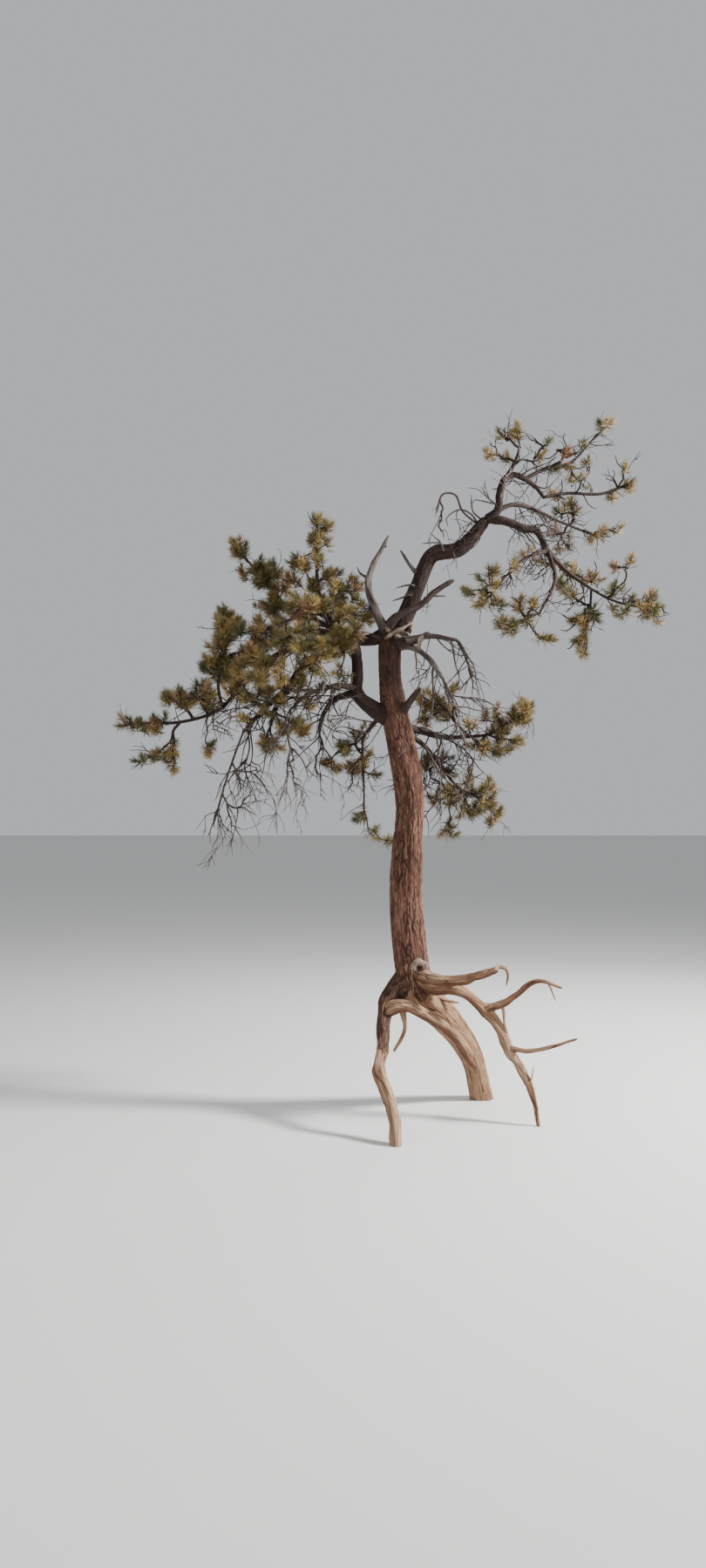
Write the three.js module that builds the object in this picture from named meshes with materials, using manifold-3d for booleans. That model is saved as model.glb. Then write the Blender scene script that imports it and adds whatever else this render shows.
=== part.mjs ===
// A weathered mountain pine with a bent leader and bare, exposed roots.
// Millimetres, +Z up. The origin is the middle of the flat cut under the trunk, on level ground.
// The trunk leans back from there to the root collar, and the crown spreads along X.
import * as THREE from 'three';
import { mergeVertices } from 'three/addons/utils/BufferGeometryUtils.js';
import Module from 'manifold-3d';

const wasm = await Module();
wasm.setup();

// Driving dimensions: clearances, sections of plain limbs and the level ground
const GAP = 0.35;
const SMALLEST_DETAIL = 0.15;
const LIMB_SIDES = 6;
const LIMB_STEPS = 6;
const GROUND_SPREAD = 8000;
const GROUND_DEPTH = 400;

// Driving dimensions: tufts of needles
const TUFT_REACH = 84;
const TUFT_LEAST = 0.5;
const TUFT_SPARE = 2;
const TUFT_CORE = 17;
const TUFT_HEEL = 24;
const TUFT_MIDDLE = 8;
const TUFT_WAIST = 26;
const TUFT_NOSE = 60;

// Driving dimensions: twigs
const TWIG_SIDES = 3;
const TWIG_TIP_RADIUS = 5;
const TWIG_THICKENING = 0.4;
const TWIG_CLEARANCE = 16;
const TWIG_SAMPLES = 8;
const LONG_TWIG = 260;
const ROOT_SHARE = 0.5;
const LEAVE_STRAIGHT = 0.8;
const LEAVE_ALONG = 0.6;
const TIP_LIFT = 0.8;
const BARE_TIP_DROOP = -0.35;
const HANDLE = 0.35;
const WOBBLE = 0.1;

// Driving dimensions: stems, sites and joints
const STEM_SIDES = 5;
const STEM_STEP = 130;
const STEM_LEAST_STEPS = 3;
const STEM_REACH = 300;
const STEM_SHARE = 0.85;
const LOBE_REACH = 1.4;
const SITE_TRIES = 9;
const JOINT_TRIES = 6;
const TURN_COST = 1.7;
const FIRST_SEED = 4100;

// Where limbs meet
const COLLAR = [-605, -400, 1080];
const FORK = [-775, -400, 3830];
const ELBOW = [-420, -390, 4460];
const ARCH_FOOT = [10, -460, 4735];
const ARCH_TOP = [325, -390, 5085];
const RIGHT_FORK = [505, -400, 4495];
const RISER_TOP = [-1075, -480, 3725];
const LEFT_FORK = [-1160, -340, 3805];
const PALE_FORK = [-1615, -550, 3325];

// Each limb tapers evenly between its two radii along a smooth curve through its route.
// It starts inside the limb that carries it, which is cut away from it.
const LIMBS = [
  {
    name: 'trunk',
    wood: 'bark',
    sides: 14,
    steps: 20,
    radii: [96, 90, 102, 128, 136, 136, 124, 119, 119, 113, 94, 96],
    route: [
      [28, 30, -120], [-95, -100, 370], [-330, -270, 710], [-550, -385, 940], [-615, -400, 1200],
      [-645, -405, 1750], [-635, -420, 2100], [-622, -420, 2420], [-652, -410, 2720], [-715, -400, 3080],
      [-770, -400, 3430], [-775, -400, 3845],
    ],
  },
  {
    name: 'leader_lower',
    wood: 'bark',
    sides: 8,
    steps: 8,
    radii: [88, 72, 62, 62],
    route: [[-765, -400, 3760], [-650, -370, 3950], [-545, -360, 4210], ELBOW],
  },
  {
    name: 'leader_upper',
    wood: 'bark',
    sides: 8,
    steps: 7,
    radii: [63, 61, 44],
    route: [ELBOW, [-215, -420, 4500], ARCH_FOOT],
  },
  {
    name: 'arch_rise',
    wood: 'bark',
    radii: [36, 27],
    route: [ARCH_FOOT, [95, -475, 4800], [112, -480, 4935], [155, -460, 5060]],
  },
  {
    name: 'arch_top',
    wood: 'bark',
    radii: [27, 22],
    route: [[150, -462, 5050], [232, -430, 5105], ARCH_TOP],
  },
  {
    name: 'arch_end',
    wood: 'bark',
    radii: [22, 15],
    route: [ARCH_TOP, [425, -350, 5030], [495, -320, 4955]],
  },
  {
    name: 'right_bough',
    wood: 'bark',
    radii: [38, 26],
    route: [ARCH_FOOT, [150, -480, 4712], [300, -480, 4655], [405, -460, 4640], RIGHT_FORK],
  },
  {
    name: 'right_outer',
    wood: 'bark',
    radii: [22, 12],
    route: [RIGHT_FORK, [595, -360, 4405], [720, -320, 4310], [885, -280, 4205]],
  },
  {
    name: 'right_inner',
    wood: 'bark',
    radii: [19, 10],
    route: [RIGHT_FORK, [548, -500, 4240], [410, -580, 3945]],
  },
  {
    name: 'right_low_left',
    wood: 'bark',
    radii: [18, 9],
    route: [RIGHT_FORK, [300, -560, 4390], [170, -650, 4270]],
  },
  {
    name: 'right_stem',
    wood: 'bark',
    radii: [22, 12],
    route: [ARCH_FOOT, [205, -400, 4865], [400, -290, 4870], [620, -170, 4810]],
  },
  {
    name: 'left_riser',
    wood: 'bark',
    sides: 8,
    steps: 8,
    radii: [60, 40],
    route: [[-770, -400, 3130], [-910, -430, 3205], [-1030, -460, 3310], [-1035, -470, 3520], RISER_TOP],
  },
  {
    name: 'left_top',
    wood: 'bark',
    radii: [50, 33],
    route: [FORK, [-920, -410, 3765], [-1030, -375, 3762], LEFT_FORK],
  },
  {
    name: 'left_middle',
    wood: 'bark',
    radii: [34, 26],
    route: [RISER_TOP, [-1245, -500, 3695], [-1440, -520, 3555], PALE_FORK],
  },
  {
    name: 'left_pale',
    wood: 'dead',
    radii: [26, 13],
    route: [PALE_FORK, [-1790, -580, 3165], [-1935, -600, 2995]],
  },
  {
    name: 'left_outer',
    wood: 'bark',
    steps: 8,
    radii: [33, 16],
    route: [LEFT_FORK, [-1640, -290, 3685], [-1890, -280, 3505], [-2140, -260, 3225]],
  },
  {
    name: 'left_elbow',
    wood: 'bark',
    radii: [32, 14],
    route: [[-1035, -465, 3330], [-1220, -360, 3285], [-1305, -300, 3180], [-1350, -270, 3045]],
  },
  {
    name: 'left_elbow_front',
    wood: 'dead',
    radii: [25, 12],
    route: [[-1035, -465, 3370], [-1220, -610, 3360], [-1430, -725, 3275], [-1550, -770, 3160]],
  },
  {
    name: 'mid_left',
    wood: 'dead',
    radii: [24, 13],
    route: [[-730, -370, 3190], [-860, -230, 3140], [-990, -150, 2990]],
  },
  {
    name: 'mid_right',
    wood: 'bark',
    radii: [31, 15],
    route: [[-680, -390, 3070], [-550, -290, 3045], [-330, -230, 2990], [-115, -210, 2995]],
  },
  {
    name: 'mid_right_low',
    wood: 'bark',
    radii: [24, 12],
    route: [[-680, -390, 3030], [-490, -250, 2920], [-310, -180, 2700]],
  },
  {
    name: 'snag',
    wood: 'dead',
    steps: 9,
    radii: [38, 32, 26, 11],
    route: [[-790, -420, 3790], [-875, -505, 3950], [-950, -512, 4210], [-790, -495, 4580]],
  },
  {
    name: 'crossing_snag',
    wood: 'dead',
    radii: [33, 20],
    route: [
      [-815, -450, 3830], [-730, -520, 3920], [-535, -530, 4020], [-415, -520, 4130], [-270, -510, 4225],
    ],
  },
  {
    name: 'dead_high',
    wood: 'dead',
    radii: [34, 15],
    route: [[-750, -420, 3750], [-630, -510, 3740], [-470, -570, 3765], [-255, -630, 3722]],
  },
  {
    name: 'dead_low',
    wood: 'dead',
    radii: [28, 16],
    route: [[-720, -410, 3710], [-590, -480, 3690], [-440, -520, 3565], [-355, -520, 3435]],
  },
  {
    name: 'trunk_stub',
    wood: 'dead',
    steps: 5,
    radii: [32, 20],
    route: [[-690, -440, 3130], [-635, -510, 3230], [-540, -550, 3345]],
  },
  {
    name: 'leader_stub',
    wood: 'dead',
    steps: 6,
    radii: [19, 9],
    route: [[-520, -365, 4285], [-600, -410, 4360], [-685, -430, 4485]],
  },
  {
    name: 'left_root',
    wood: 'root',
    sides: 8,
    steps: 14,
    radii: [84, 56, 44, 45, 43],
    route: [
      COLLAR, [-800, -540, 870], [-850, -850, 560], [-880, -980, 445], [-812, -1130, 270],
      [-772, -1250, 150], [-772, -1380, -60],
    ],
  },
  {
    name: 'front_root',
    wood: 'root',
    sides: 8,
    steps: 11,
    radii: [42, 40, 43],
    route: [
      [-800, -590, 820], [-720, -640, 868], [-630, -628, 852], [-455, -530, 745], [-265, -350, 595],
      [-150, -220, 420], [-20, -60, 220],
    ],
  },
  {
    name: 'right_root',
    wood: 'root',
    sides: 8,
    steps: 14,
    radii: [64, 44, 42, 32, 11],
    route: [
      COLLAR, [-420, -510, 990], [-250, -560, 980], [-30, -590, 815], [65, -610, 690], [135, -650, 525],
      [230, -715, 375], [300, -800, 190], [330, -860, -40],
    ],
  },
  {
    name: 'upper_root',
    wood: 'root',
    radii: [60, 42, 40, 24],
    route: [[-595, -420, 1140], [-465, -600, 1070], [-245, -720, 1075], [25, -860, 1175]],
  },
  {
    name: 'reaching_root',
    wood: 'root',
    radii: [30, 24, 10],
    route: [[-60, -588, 830], [120, -655, 900], [330, -765, 1072], [520, -810, 1030]],
  },
  {
    name: 'side_root',
    wood: 'root',
    radii: [20, 17, 8],
    route: [[125, -650, 540], [310, -780, 550], [620, -870, 655]],
  },
  {
    name: 'hanging_root',
    wood: 'root',
    radii: [20, 12],
    route: [[-690, -625, 850], [-670, -640, 680], [-755, -650, 515]],
  },
];

// Each mass grows from its limb's tip along a stem, and its twigs reach for sites in its lobes.
// A lobe is a centre, three half widths and the number of sites in it.
const MASSES = [
  {
    name: 'left_high',
    from: 'left_top',
    stem: [[-1260, -310, 3940], [-1350, -310, 4170], [-1370, -340, 4610]],
    lobes: [
      [-1360, -340, 4640, 100, 110, 180, 3], [-1410, -310, 4370, 200, 200, 160, 4],
      [-1200, -340, 4160, 200, 210, 170, 4], [-1010, -340, 4010, 110, 150, 140, 3],
    ],
  },
  {
    name: 'left_peak',
    from: 'left_top',
    stem: [[-1380, -230, 3960], [-1580, -190, 4040], [-1770, -200, 4250], [-2030, -250, 4560]],
    lobes: [
      [-2020, -250, 4550, 40, 50, 90, 1], [-1880, -220, 4360, 130, 120, 90, 2],
      [-1610, -160, 4340, 170, 190, 120, 3], [-1670, -140, 4080, 190, 200, 100, 2],
    ],
  },
  {
    name: 'left_back',
    from: 'left_top',
    stem: [[-1290, -140, 3860], [-1560, 120, 3890], [-1870, 280, 3830]],
    lobes: [
      [-1380, 160, 4090, 280, 190, 160, 4], [-1780, 280, 3960, 280, 190, 180, 4],
      [-2120, 260, 3640, 240, 180, 160, 3],
    ],
  },
  {
    name: 'left_brow',
    from: 'left_outer',
    stem: [[-2170, -300, 3420], [-2110, -310, 3700], [-2130, -310, 3900]],
    lobes: [
      [-2090, -310, 3980, 140, 150, 100, 3], [-1830, -340, 3860, 200, 190, 110, 3],
      [-2200, -290, 3730, 110, 150, 100, 2], [-1870, -320, 3650, 180, 190, 100, 3],
      [-2210, -330, 3600, 90, 90, 60, 1],
    ],
  },
  {
    name: 'left_far',
    from: 'left_outer',
    stem: [[-2270, -280, 3160], [-2500, -330, 3100], [-2750, -390, 3090], [-2950, -430, 3060]],
    lobes: [
      [-2270, -180, 3310, 110, 110, 90, 2], [-2500, -380, 3320, 90, 90, 80, 2],
      [-2750, -400, 3080, 180, 80, 60, 3], [-2600, -280, 2830, 160, 140, 110, 3],
      [-2254, -300, 2850, 40, 50, 40, 1],
    ],
  },
  {
    name: 'left_centre',
    from: 'left_riser',
    stem: [[-1210, -580, 3780], [-1430, -740, 3780], [-1650, -860, 3660]],
    lobes: [
      [-1430, -720, 3990, 200, 150, 100, 3], [-1160, -700, 3840, 160, 130, 110, 2],
      [-1480, -870, 3670, 210, 160, 110, 3], [-1750, -920, 3450, 200, 150, 120, 3],
      [-1132, -640, 3678, 70, 60, 60, 1], [-1214, -640, 3420, 60, 60, 50, 1],
    ],
  },
  {
    name: 'left_low',
    from: 'left_middle',
    stem: [[-1670, -560, 3230], [-1710, -580, 3090]],
    lobes: [
      [-1450, -630, 3400, 210, 160, 100, 3], [-1770, -680, 3270, 180, 150, 110, 3],
      [-1670, -610, 2930, 180, 150, 120, 2], [-1903, -640, 3110, 40, 60, 40, 1],
      [-1445, -640, 3010, 50, 60, 40, 1],
    ],
  },
  {
    name: 'mid_left_mass',
    from: 'mid_left',
    stem: [[-990, -160, 2810], [-980, -180, 2570], [-980, -210, 2320]],
    lobes: [
      [-1080, -20, 2980, 140, 170, 100, 3], [-1050, 20, 2780, 160, 190, 100, 3],
      [-880, -160, 2750, 90, 140, 100, 1], [-890, -220, 2230, 130, 90, 70, 1],
      [-1270, -180, 2790, 40, 50, 40, 1], [-930, -130, 3090, 30, 40, 30, 1],
    ],
  },
  {
    name: 'mid_right_far',
    from: 'mid_right',
    stem: [[60, -210, 3020], [210, -230, 3110], [370, -250, 3200]],
    lobes: [
      [340, -240, 3190, 110, 130, 100, 3], [150, -20, 3160, 160, 200, 90, 3],
      [50, -270, 2890, 240, 190, 70, 3], [266, -240, 2960, 50, 60, 40, 1],
    ],
  },
  {
    name: 'mid_right_near',
    from: 'mid_right',
    stem: [[-240, -120, 3150], [-310, -20, 3300]],
    lobes: [
      [-330, -40, 3260, 150, 210, 120, 4], [-490, -120, 3150, 40, 50, 40, 1],
      [-510, -120, 3330, 40, 50, 40, 1],
    ],
  },
  {
    name: 'mid_right_hanging',
    from: 'mid_right_low',
    stem: [[-210, -170, 2590], [-70, -180, 2510], [80, -200, 2450]],
    lobes: [
      [10, 0, 2610, 170, 180, 90, 3], [30, -170, 2390, 190, 180, 90, 3],
      [-320, -70, 2520, 140, 180, 100, 3], [-300, -160, 2210, 90, 80, 60, 1],
      [-470, -110, 2800, 40, 50, 50, 1],
    ],
  },
  {
    name: 'crown_left',
    from: 'arch_rise',
    stem: [[230, -470, 5180], [270, -490, 5310], [240, -510, 5440]],
    lobes: [
      [230, -510, 5440, 120, 90, 80, 1], [30, -540, 5300, 70, 80, 80, 1],
      [460, -440, 5350, 100, 110, 100, 1], [154, -420, 5252, 40, 40, 40, 1],
    ],
  },
  {
    name: 'crown_middle',
    from: 'arch_top',
    stem: [[520, -340, 5190], [720, -300, 5250], [920, -290, 5460], [1070, -290, 5600]],
    lobes: [
      [980, -290, 5540, 130, 90, 100, 1], [670, -400, 5260, 160, 150, 110, 3],
      [820, -70, 5200, 110, 200, 80, 2],
    ],
  },
  {
    name: 'crown_right',
    from: 'arch_end',
    stem: [[690, -280, 5000], [990, -240, 5010], [1240, -220, 5110]],
    lobes: [
      [1200, -200, 5100, 130, 140, 100, 2], [970, -300, 5240, 130, 150, 130, 1],
      [770, 30, 5130, 140, 160, 90, 2],
    ],
  },
  {
    name: 'right_cluster',
    from: 'right_stem',
    stem: [[750, -100, 4780], [980, -70, 4700]],
    lobes: [
      [760, -70, 4930, 140, 180, 90, 3], [1070, 20, 4770, 160, 150, 100, 2],
      [680, 80, 4690, 150, 150, 80, 2],
    ],
  },
  {
    name: 'right_tip',
    from: 'right_outer',
    stem: [[1040, -280, 4120], [1230, -300, 4060], [1430, -320, 4050]],
    lobes: [
      [1430, -320, 4040, 100, 90, 130, 3], [1190, -300, 4060, 140, 150, 130, 3],
      [1070, -270, 4210, 110, 140, 100, 2], [1150, -240, 4430, 100, 110, 70, 1],
    ],
  },
  {
    name: 'right_low_middle',
    from: 'right_outer',
    stem: [[880, -240, 4030], [830, -250, 3840]],
    lobes: [
      [850, -230, 3940, 140, 150, 110, 3], [780, -250, 3720, 110, 100, 70, 2],
      [680, -200, 4220, 130, 150, 100, 2],
    ],
  },
  {
    name: 'right_low_inner',
    from: 'right_inner',
    stem: [[270, -600, 3890], [160, -620, 3810]],
    lobes: [
      [310, -620, 3980, 120, 140, 140, 3], [120, -700, 3830, 110, 130, 80, 2],
      [440, -560, 3750, 110, 130, 80, 1],
    ],
  },
  {
    name: 'right_low_outer',
    from: 'right_low_left',
    stem: [[70, -700, 4140], [-60, -760, 3990]],
    lobes: [[-50, -770, 4060, 150, 140, 140, 4], [140, -780, 4250, 80, 120, 80, 1]],
  },
  {
    name: 'right_back',
    from: 'right_bough',
    stem: [[610, -160, 4500], [710, 80, 4470]],
    lobes: [
      [530, 80, 4560, 190, 200, 140, 3], [810, 200, 4400, 180, 190, 130, 3],
      [990, -60, 4340, 50, 60, 40, 1],
    ],
  },
  {
    name: 'bare_inner',
    from: 'left_elbow',
    bare: true,
    stem: [[-1310, -260, 2900], [-1230, -250, 2800]],
    lobes: [[-1260, -260, 2720, 160, 110, 180, 4]],
  },
  {
    name: 'bare_front',
    from: 'left_elbow_front',
    bare: true,
    stem: [[-1570, -780, 2950], [-1520, -790, 2750]],
    lobes: [[-1470, -780, 2640, 160, 110, 230, 5]],
  },
  {
    name: 'bare_pale',
    from: 'left_pale',
    bare: true,
    stem: [[-2010, -630, 2780], [-2080, -650, 2550], [-2150, -670, 2280]],
    lobes: [[-2110, -660, 2250, 180, 100, 180, 4], [-1840, -620, 2510, 150, 110, 230, 5]],
  },
  {
    name: 'bare_high',
    from: 'dead_high',
    bare: true,
    stem: [[-190, -640, 3600], [-130, -650, 3420]],
    lobes: [[-190, -640, 3410, 110, 70, 200, 4]],
  },
  {
    name: 'bare_low',
    from: 'dead_low',
    bare: true,
    stem: [[-290, -510, 3290], [-240, -500, 3110]],
    lobes: [[-270, -490, 2940, 210, 110, 240, 5], [20, -480, 3210, 120, 70, 70, 2]],
  },
  {
    name: 'bare_loop',
    from: 'leader_upper',
    fromShare: 0.8,
    bare: true,
    stem: [[-190, -490, 4790], [-250, -500, 4920], [-350, -510, 4920], [-400, -510, 4760]],
    lobes: [[-360, -510, 4650, 70, 50, 110, 3]],
  },
];

const WOODS = {
  bark: new THREE.MeshStandardMaterial({ color: 0x7a5a48, roughness: 0.92, metalness: 0 }),
  dead: new THREE.MeshStandardMaterial({ color: 0x9a8f86, roughness: 0.85, metalness: 0 }),
  root: new THREE.MeshStandardMaterial({ color: 0xc2a484, roughness: 0.8, metalness: 0 }),
};
const NEEDLES = new THREE.MeshStandardMaterial({ color: 0x6f6a34, roughness: 0.75, metalness: 0 });
const BARE_TWIGS = new THREE.MeshStandardMaterial({ color: 0x7d746b, roughness: 0.88, metalness: 0 });

const UP = new THREE.Vector3(0, 0, 1);

function vector(place) {
  return new THREE.Vector3(place[0], place[1], place[2]);
}

function randomFrom(seed) {
  let state = seed >>> 0;
  return () => {
    state = (state + 0x6d2b79f5) >>> 0;
    let mixed = Math.imul(state ^ (state >>> 15), state | 1);
    mixed ^= mixed + Math.imul(mixed ^ (mixed >>> 7), mixed | 61);
    return ((mixed ^ (mixed >>> 14)) >>> 0) / 4294967296;
  };
}

// Solids from closed meshes
function solidOf(positions, triangles) {
  const mesh = new wasm.Mesh({
    numProp: 3,
    vertProperties: new Float32Array(positions),
    triVerts: new Uint32Array(triangles),
  });
  return new wasm.Manifold(mesh);
}

function solidOfGeometry(geometry) {
  geometry.deleteAttribute('normal');
  geometry.deleteAttribute('uv');
  const merged = mergeVertices(geometry);
  return solidOf(merged.attributes.position.array, merged.index.array);
}

function geometryOfSolid(solid) {
  const { vertProperties, triVerts } = solid.getMesh();
  const geometry = new THREE.BufferGeometry();
  geometry.setAttribute('position', new THREE.BufferAttribute(vertProperties, 3));
  geometry.setIndex(new THREE.BufferAttribute(triVerts, 1));
  geometry.computeVertexNormals();
  return geometry;
}

// The largest closed piece, without loose scraps, sealed hollows or detail too small to keep
function largestPiece(solid) {
  const pieces = solid.asOriginal().simplify(SMALLEST_DETAIL).decompose();
  return pieces.reduce((best, piece) => (piece.volume() > best.volume() ? piece : best));
}

// The corners of one section of a tube
function section(centre, across, along, radius, sides, turn = 0) {
  return Array.from({ length: sides }, (_, side) => {
    const angle = (2 * Math.PI * (side + turn)) / sides;
    const corner = centre.clone().addScaledVector(across, radius * Math.cos(angle));
    return corner.addScaledVector(along, radius * Math.sin(angle));
  });
}

// The sections of a tapered tube. They turn with the curve without twisting.
function sectionsAlong(points, radii, sides) {
  const sections = [];
  let heading = points[1].clone().sub(points[0]).normalize();
  const helper = Math.abs(heading.x) > 0.8 ? new THREE.Vector3(0, 1, 0) : new THREE.Vector3(1, 0, 0);
  const across = helper.cross(heading).normalize();
  let along = heading.clone().cross(across);
  points.forEach((point, ring) => {
    const before = points[Math.max(ring - 1, 0)];
    const after = points[Math.min(ring + 1, points.length - 1)];
    const next = after.clone().sub(before).normalize();
    across.applyQuaternion(new THREE.Quaternion().setFromUnitVectors(heading, next));
    across.addScaledVector(next, -across.dot(next)).normalize();
    heading = next;
    along = heading.clone().cross(across);
    sections.push(section(point, across, along, radii[ring], sides));
  });
  return { sections, across, along, heading };
}

function skinTriangles(rings, sides) {
  const triangles = [];
  for (let low = 0; low < (rings - 1) * sides; low += sides) {
    for (let side = 0; side < sides; side += 1) {
      const next = (side + 1) % sides;
      triangles.push(low + side, low + next, low + sides + side);
      triangles.push(low + next, low + sides + next, low + sides + side);
    }
  }
  for (let side = 1; side < sides - 1; side += 1) triangles.push(0, side + 1, side);
  return triangles;
}

// A closed tapered tube with flat ends
function tube(points, radii, sides) {
  const { sections } = sectionsAlong(points, radii, sides);
  const triangles = skinTriangles(sections.length, sides);
  const last = (sections.length - 1) * sides;
  for (let side = 1; side < sides - 1; side += 1) triangles.push(last, last + side, last + side + 1);
  return solidOf(sections.flat().flatMap((corner) => corner.toArray()), triangles);
}

// A twig whose end swells into a slim core. Each face of the core is drawn out into pointed needles.
function tuftedTwig(points, radii, size) {
  const sides = TWIG_SIDES;
  const site = points[points.length - 1];
  const heel = points.slice();
  const back = points[points.length - 2].clone().sub(site).normalize();
  heel[heel.length - 1] = site.clone().addScaledVector(back, TUFT_HEEL * size);
  const { sections, across, along, heading } = sectionsAlong(heel, radii, sides);
  const waist = site.clone().addScaledVector(heading, TUFT_WAIST * size);
  sections.push(section(site, across, along, TUFT_CORE * size, sides));
  sections.push(section(waist, across, along, TUFT_CORE * size, sides, 0.5));
  const corners = sections.flat();
  const nose = corners.push(site.clone().addScaledVector(heading, TUFT_NOSE * size)) - 1;
  const triangles = skinTriangles(sections.length - 1, sides);
  const middle = site.clone().addScaledVector(heading, TUFT_MIDDLE * size);
  const drawOut = (first, second, third) => {
    const out = corners[first].clone().add(corners[second]).add(corners[third]).divideScalar(3);
    out.sub(middle).normalize().multiplyScalar(TUFT_REACH * size);
    const point = corners.push(out.add(middle)) - 1;
    triangles.push(first, second, point, second, third, point, third, first, point);
  };
  const ringOne = (sections.length - 2) * sides;
  const ringTwo = ringOne + sides;
  for (let side = 0; side < sides; side += 1) {
    const next = (side + 1) % sides;
    triangles.push(ringOne + side, ringOne + next, ringTwo + side);
    drawOut(ringOne + next, ringTwo + next, ringTwo + side);
    drawOut(ringTwo + side, ringTwo + next, nose);
  }
  return solidOf(corners.flatMap((corner) => corner.toArray()), triangles);
}

// Limbs
function sampleLimb({ route, radii, steps = LIMB_STEPS }) {
  const points = new THREE.CatmullRomCurve3(route.map(vector), false, 'centripetal').getSpacedPoints(steps);
  const widths = points.map((point, step) => {
    const place = (step / steps) * (radii.length - 1);
    const lower = Math.min(Math.floor(place), radii.length - 2);
    return THREE.MathUtils.lerp(radii[lower], radii[lower + 1], place - lower);
  });
  return { points, widths };
}

function grown({ points, widths }, sides) {
  const longer = points.map((point) => point.clone());
  const last = longer.length - 1;
  longer[0].addScaledVector(points[0].clone().sub(points[1]).normalize(), GAP);
  longer[last].addScaledVector(points[last].clone().sub(points[last - 1]).normalize(), GAP);
  const wider = widths.map((width) => width + GAP / Math.cos(Math.PI / sides));
  return tube(longer, wider, sides);
}

function boxesMeet(first, second) {
  const a = first.boundingBox();
  const b = second.boundingBox();
  return [0, 1, 2].every((axis) => a.min[axis] <= b.max[axis] && b.min[axis] <= a.max[axis]);
}

function cutAway(solid, cutters) {
  const near = cutters.filter((cutter) => boxesMeet(solid, cutter));
  return largestPiece(near.reduce((left, cutter) => left.subtract(cutter), solid));
}

function groundBlock() {
  const block = new THREE.BoxGeometry(GROUND_SPREAD, GROUND_SPREAD, GROUND_DEPTH);
  block.translate(0, 0, -GROUND_DEPTH / 2);
  return solidOfGeometry(block);
}

// Keep-out capsules of everything that already stands, by node
const standing = [];

function stand(owner, from, to, radius) {
  standing.push({ owner, from: from.clone(), to: to.clone(), radius });
}

function gapAt(point, owner) {
  let least = Infinity;
  for (const capsule of standing) {
    if (capsule.owner !== owner) {
      const span = capsule.to.clone().sub(capsule.from);
      const share = point.clone().sub(capsule.from).dot(span) / Math.max(span.lengthSq(), 1);
      const nearest = capsule.from.clone().addScaledVector(span, THREE.MathUtils.clamp(share, 0, 1));
      least = Math.min(least, nearest.distanceTo(point) - capsule.radius);
    }
  }
  return least;
}

// Sites for tufts or bare tips, spread evenly through the lobes of a mass
function siteInLobe([x, y, z, wide, deep, high], random) {
  const turn = 2 * Math.PI * random();
  const level = 2 * random() - 1;
  const out = Math.cbrt(random());
  const flat = Math.sqrt(1 - level * level);
  return new THREE.Vector3(
    x + wide * out * flat * Math.cos(turn),
    y + deep * out * flat * Math.sin(turn),
    z + high * out * level,
  );
}

function distanceToNearest(places, site) {
  return Math.min(Infinity, ...places.map((place) => place.distanceTo(site)));
}

function chooseSites(lobes, random) {
  const sites = [];
  for (const lobe of lobes) {
    const count = lobe[lobe.length - 1];
    for (let number = 0; number < count; number += 1) {
      const tries = Array.from({ length: SITE_TRIES }, () => siteInLobe(lobe, random));
      const rooms = tries.map((site) => distanceToNearest(sites, site));
      sites.push(tries[rooms.indexOf(Math.max(...rooms))]);
    }
  }
  return sites;
}

function insideSpace(point, lobes, stemPoints) {
  const inLobe = lobes.some(([x, y, z, wide, deep, high]) => {
    const share = Math.hypot((point.x - x) / wide, (point.y - y) / deep, (point.z - z) / high);
    return share <= LOBE_REACH;
  });
  return inLobe || distanceToNearest(stemPoints, point) <= STEM_REACH;
}

// The curve of one twig, from a node of the skeleton to a site
function twigCurve(node, site, bare, random) {
  const direct = site.clone().sub(node.point);
  const length = direct.length();
  direct.normalize();
  const leave = direct.clone().multiplyScalar(LEAVE_STRAIGHT).addScaledVector(node.heading, LEAVE_ALONG);
  const arrive = direct.clone().addScaledVector(UP, bare ? BARE_TIP_DROOP : TIP_LIFT);
  const sway = () => (2 * random() - 1) * WOBBLE * length;
  const first = node.point.clone().addScaledVector(leave.normalize(), HANDLE * length);
  first.add(new THREE.Vector3(sway(), sway(), sway()));
  const second = site.clone().addScaledVector(arrive.normalize(), -HANDLE * length);
  second.add(new THREE.Vector3(sway(), sway(), sway()));
  return new THREE.CubicBezierCurve3(node.point, first, second, site);
}

// The stem's nodes. The last stretch carries a tuft as every other twig does.
function growStem(mass, start) {
  const route = [start, ...mass.stem.map(vector)];
  const curve = new THREE.CatmullRomCurve3(route, false, 'centripetal');
  const steps = Math.max(STEM_LEAST_STEPS, Math.round(curve.getLength() / STEM_STEP));
  return curve.getSpacedPoints(steps).map((point, step) => ({
    point,
    heading: curve.getTangentAt(step / steps),
    parent: step - 1,
    tip: step === steps,
  }));
}

function tuftSize(mass, site) {
  return mass.bare ? 1 : Math.min(1, (gapAt(site, mass.name) - TUFT_SPARE) / TUFT_REACH);
}

// Nodes that a new twig can start from, the near ones that already head its way first
function rankJoints(nodes, site) {
  const costs = nodes.map((node) => {
    const direct = site.clone().sub(node.point);
    const distance = direct.length();
    return distance * (TURN_COST - direct.dot(node.heading) / Math.max(distance, 1));
  });
  const open = [...nodes.keys()].filter((index) => index > 0 && !nodes[index].tip);
  return open.sort((a, b) => costs[a] - costs[b]).slice(0, JOINT_TRIES);
}

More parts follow.
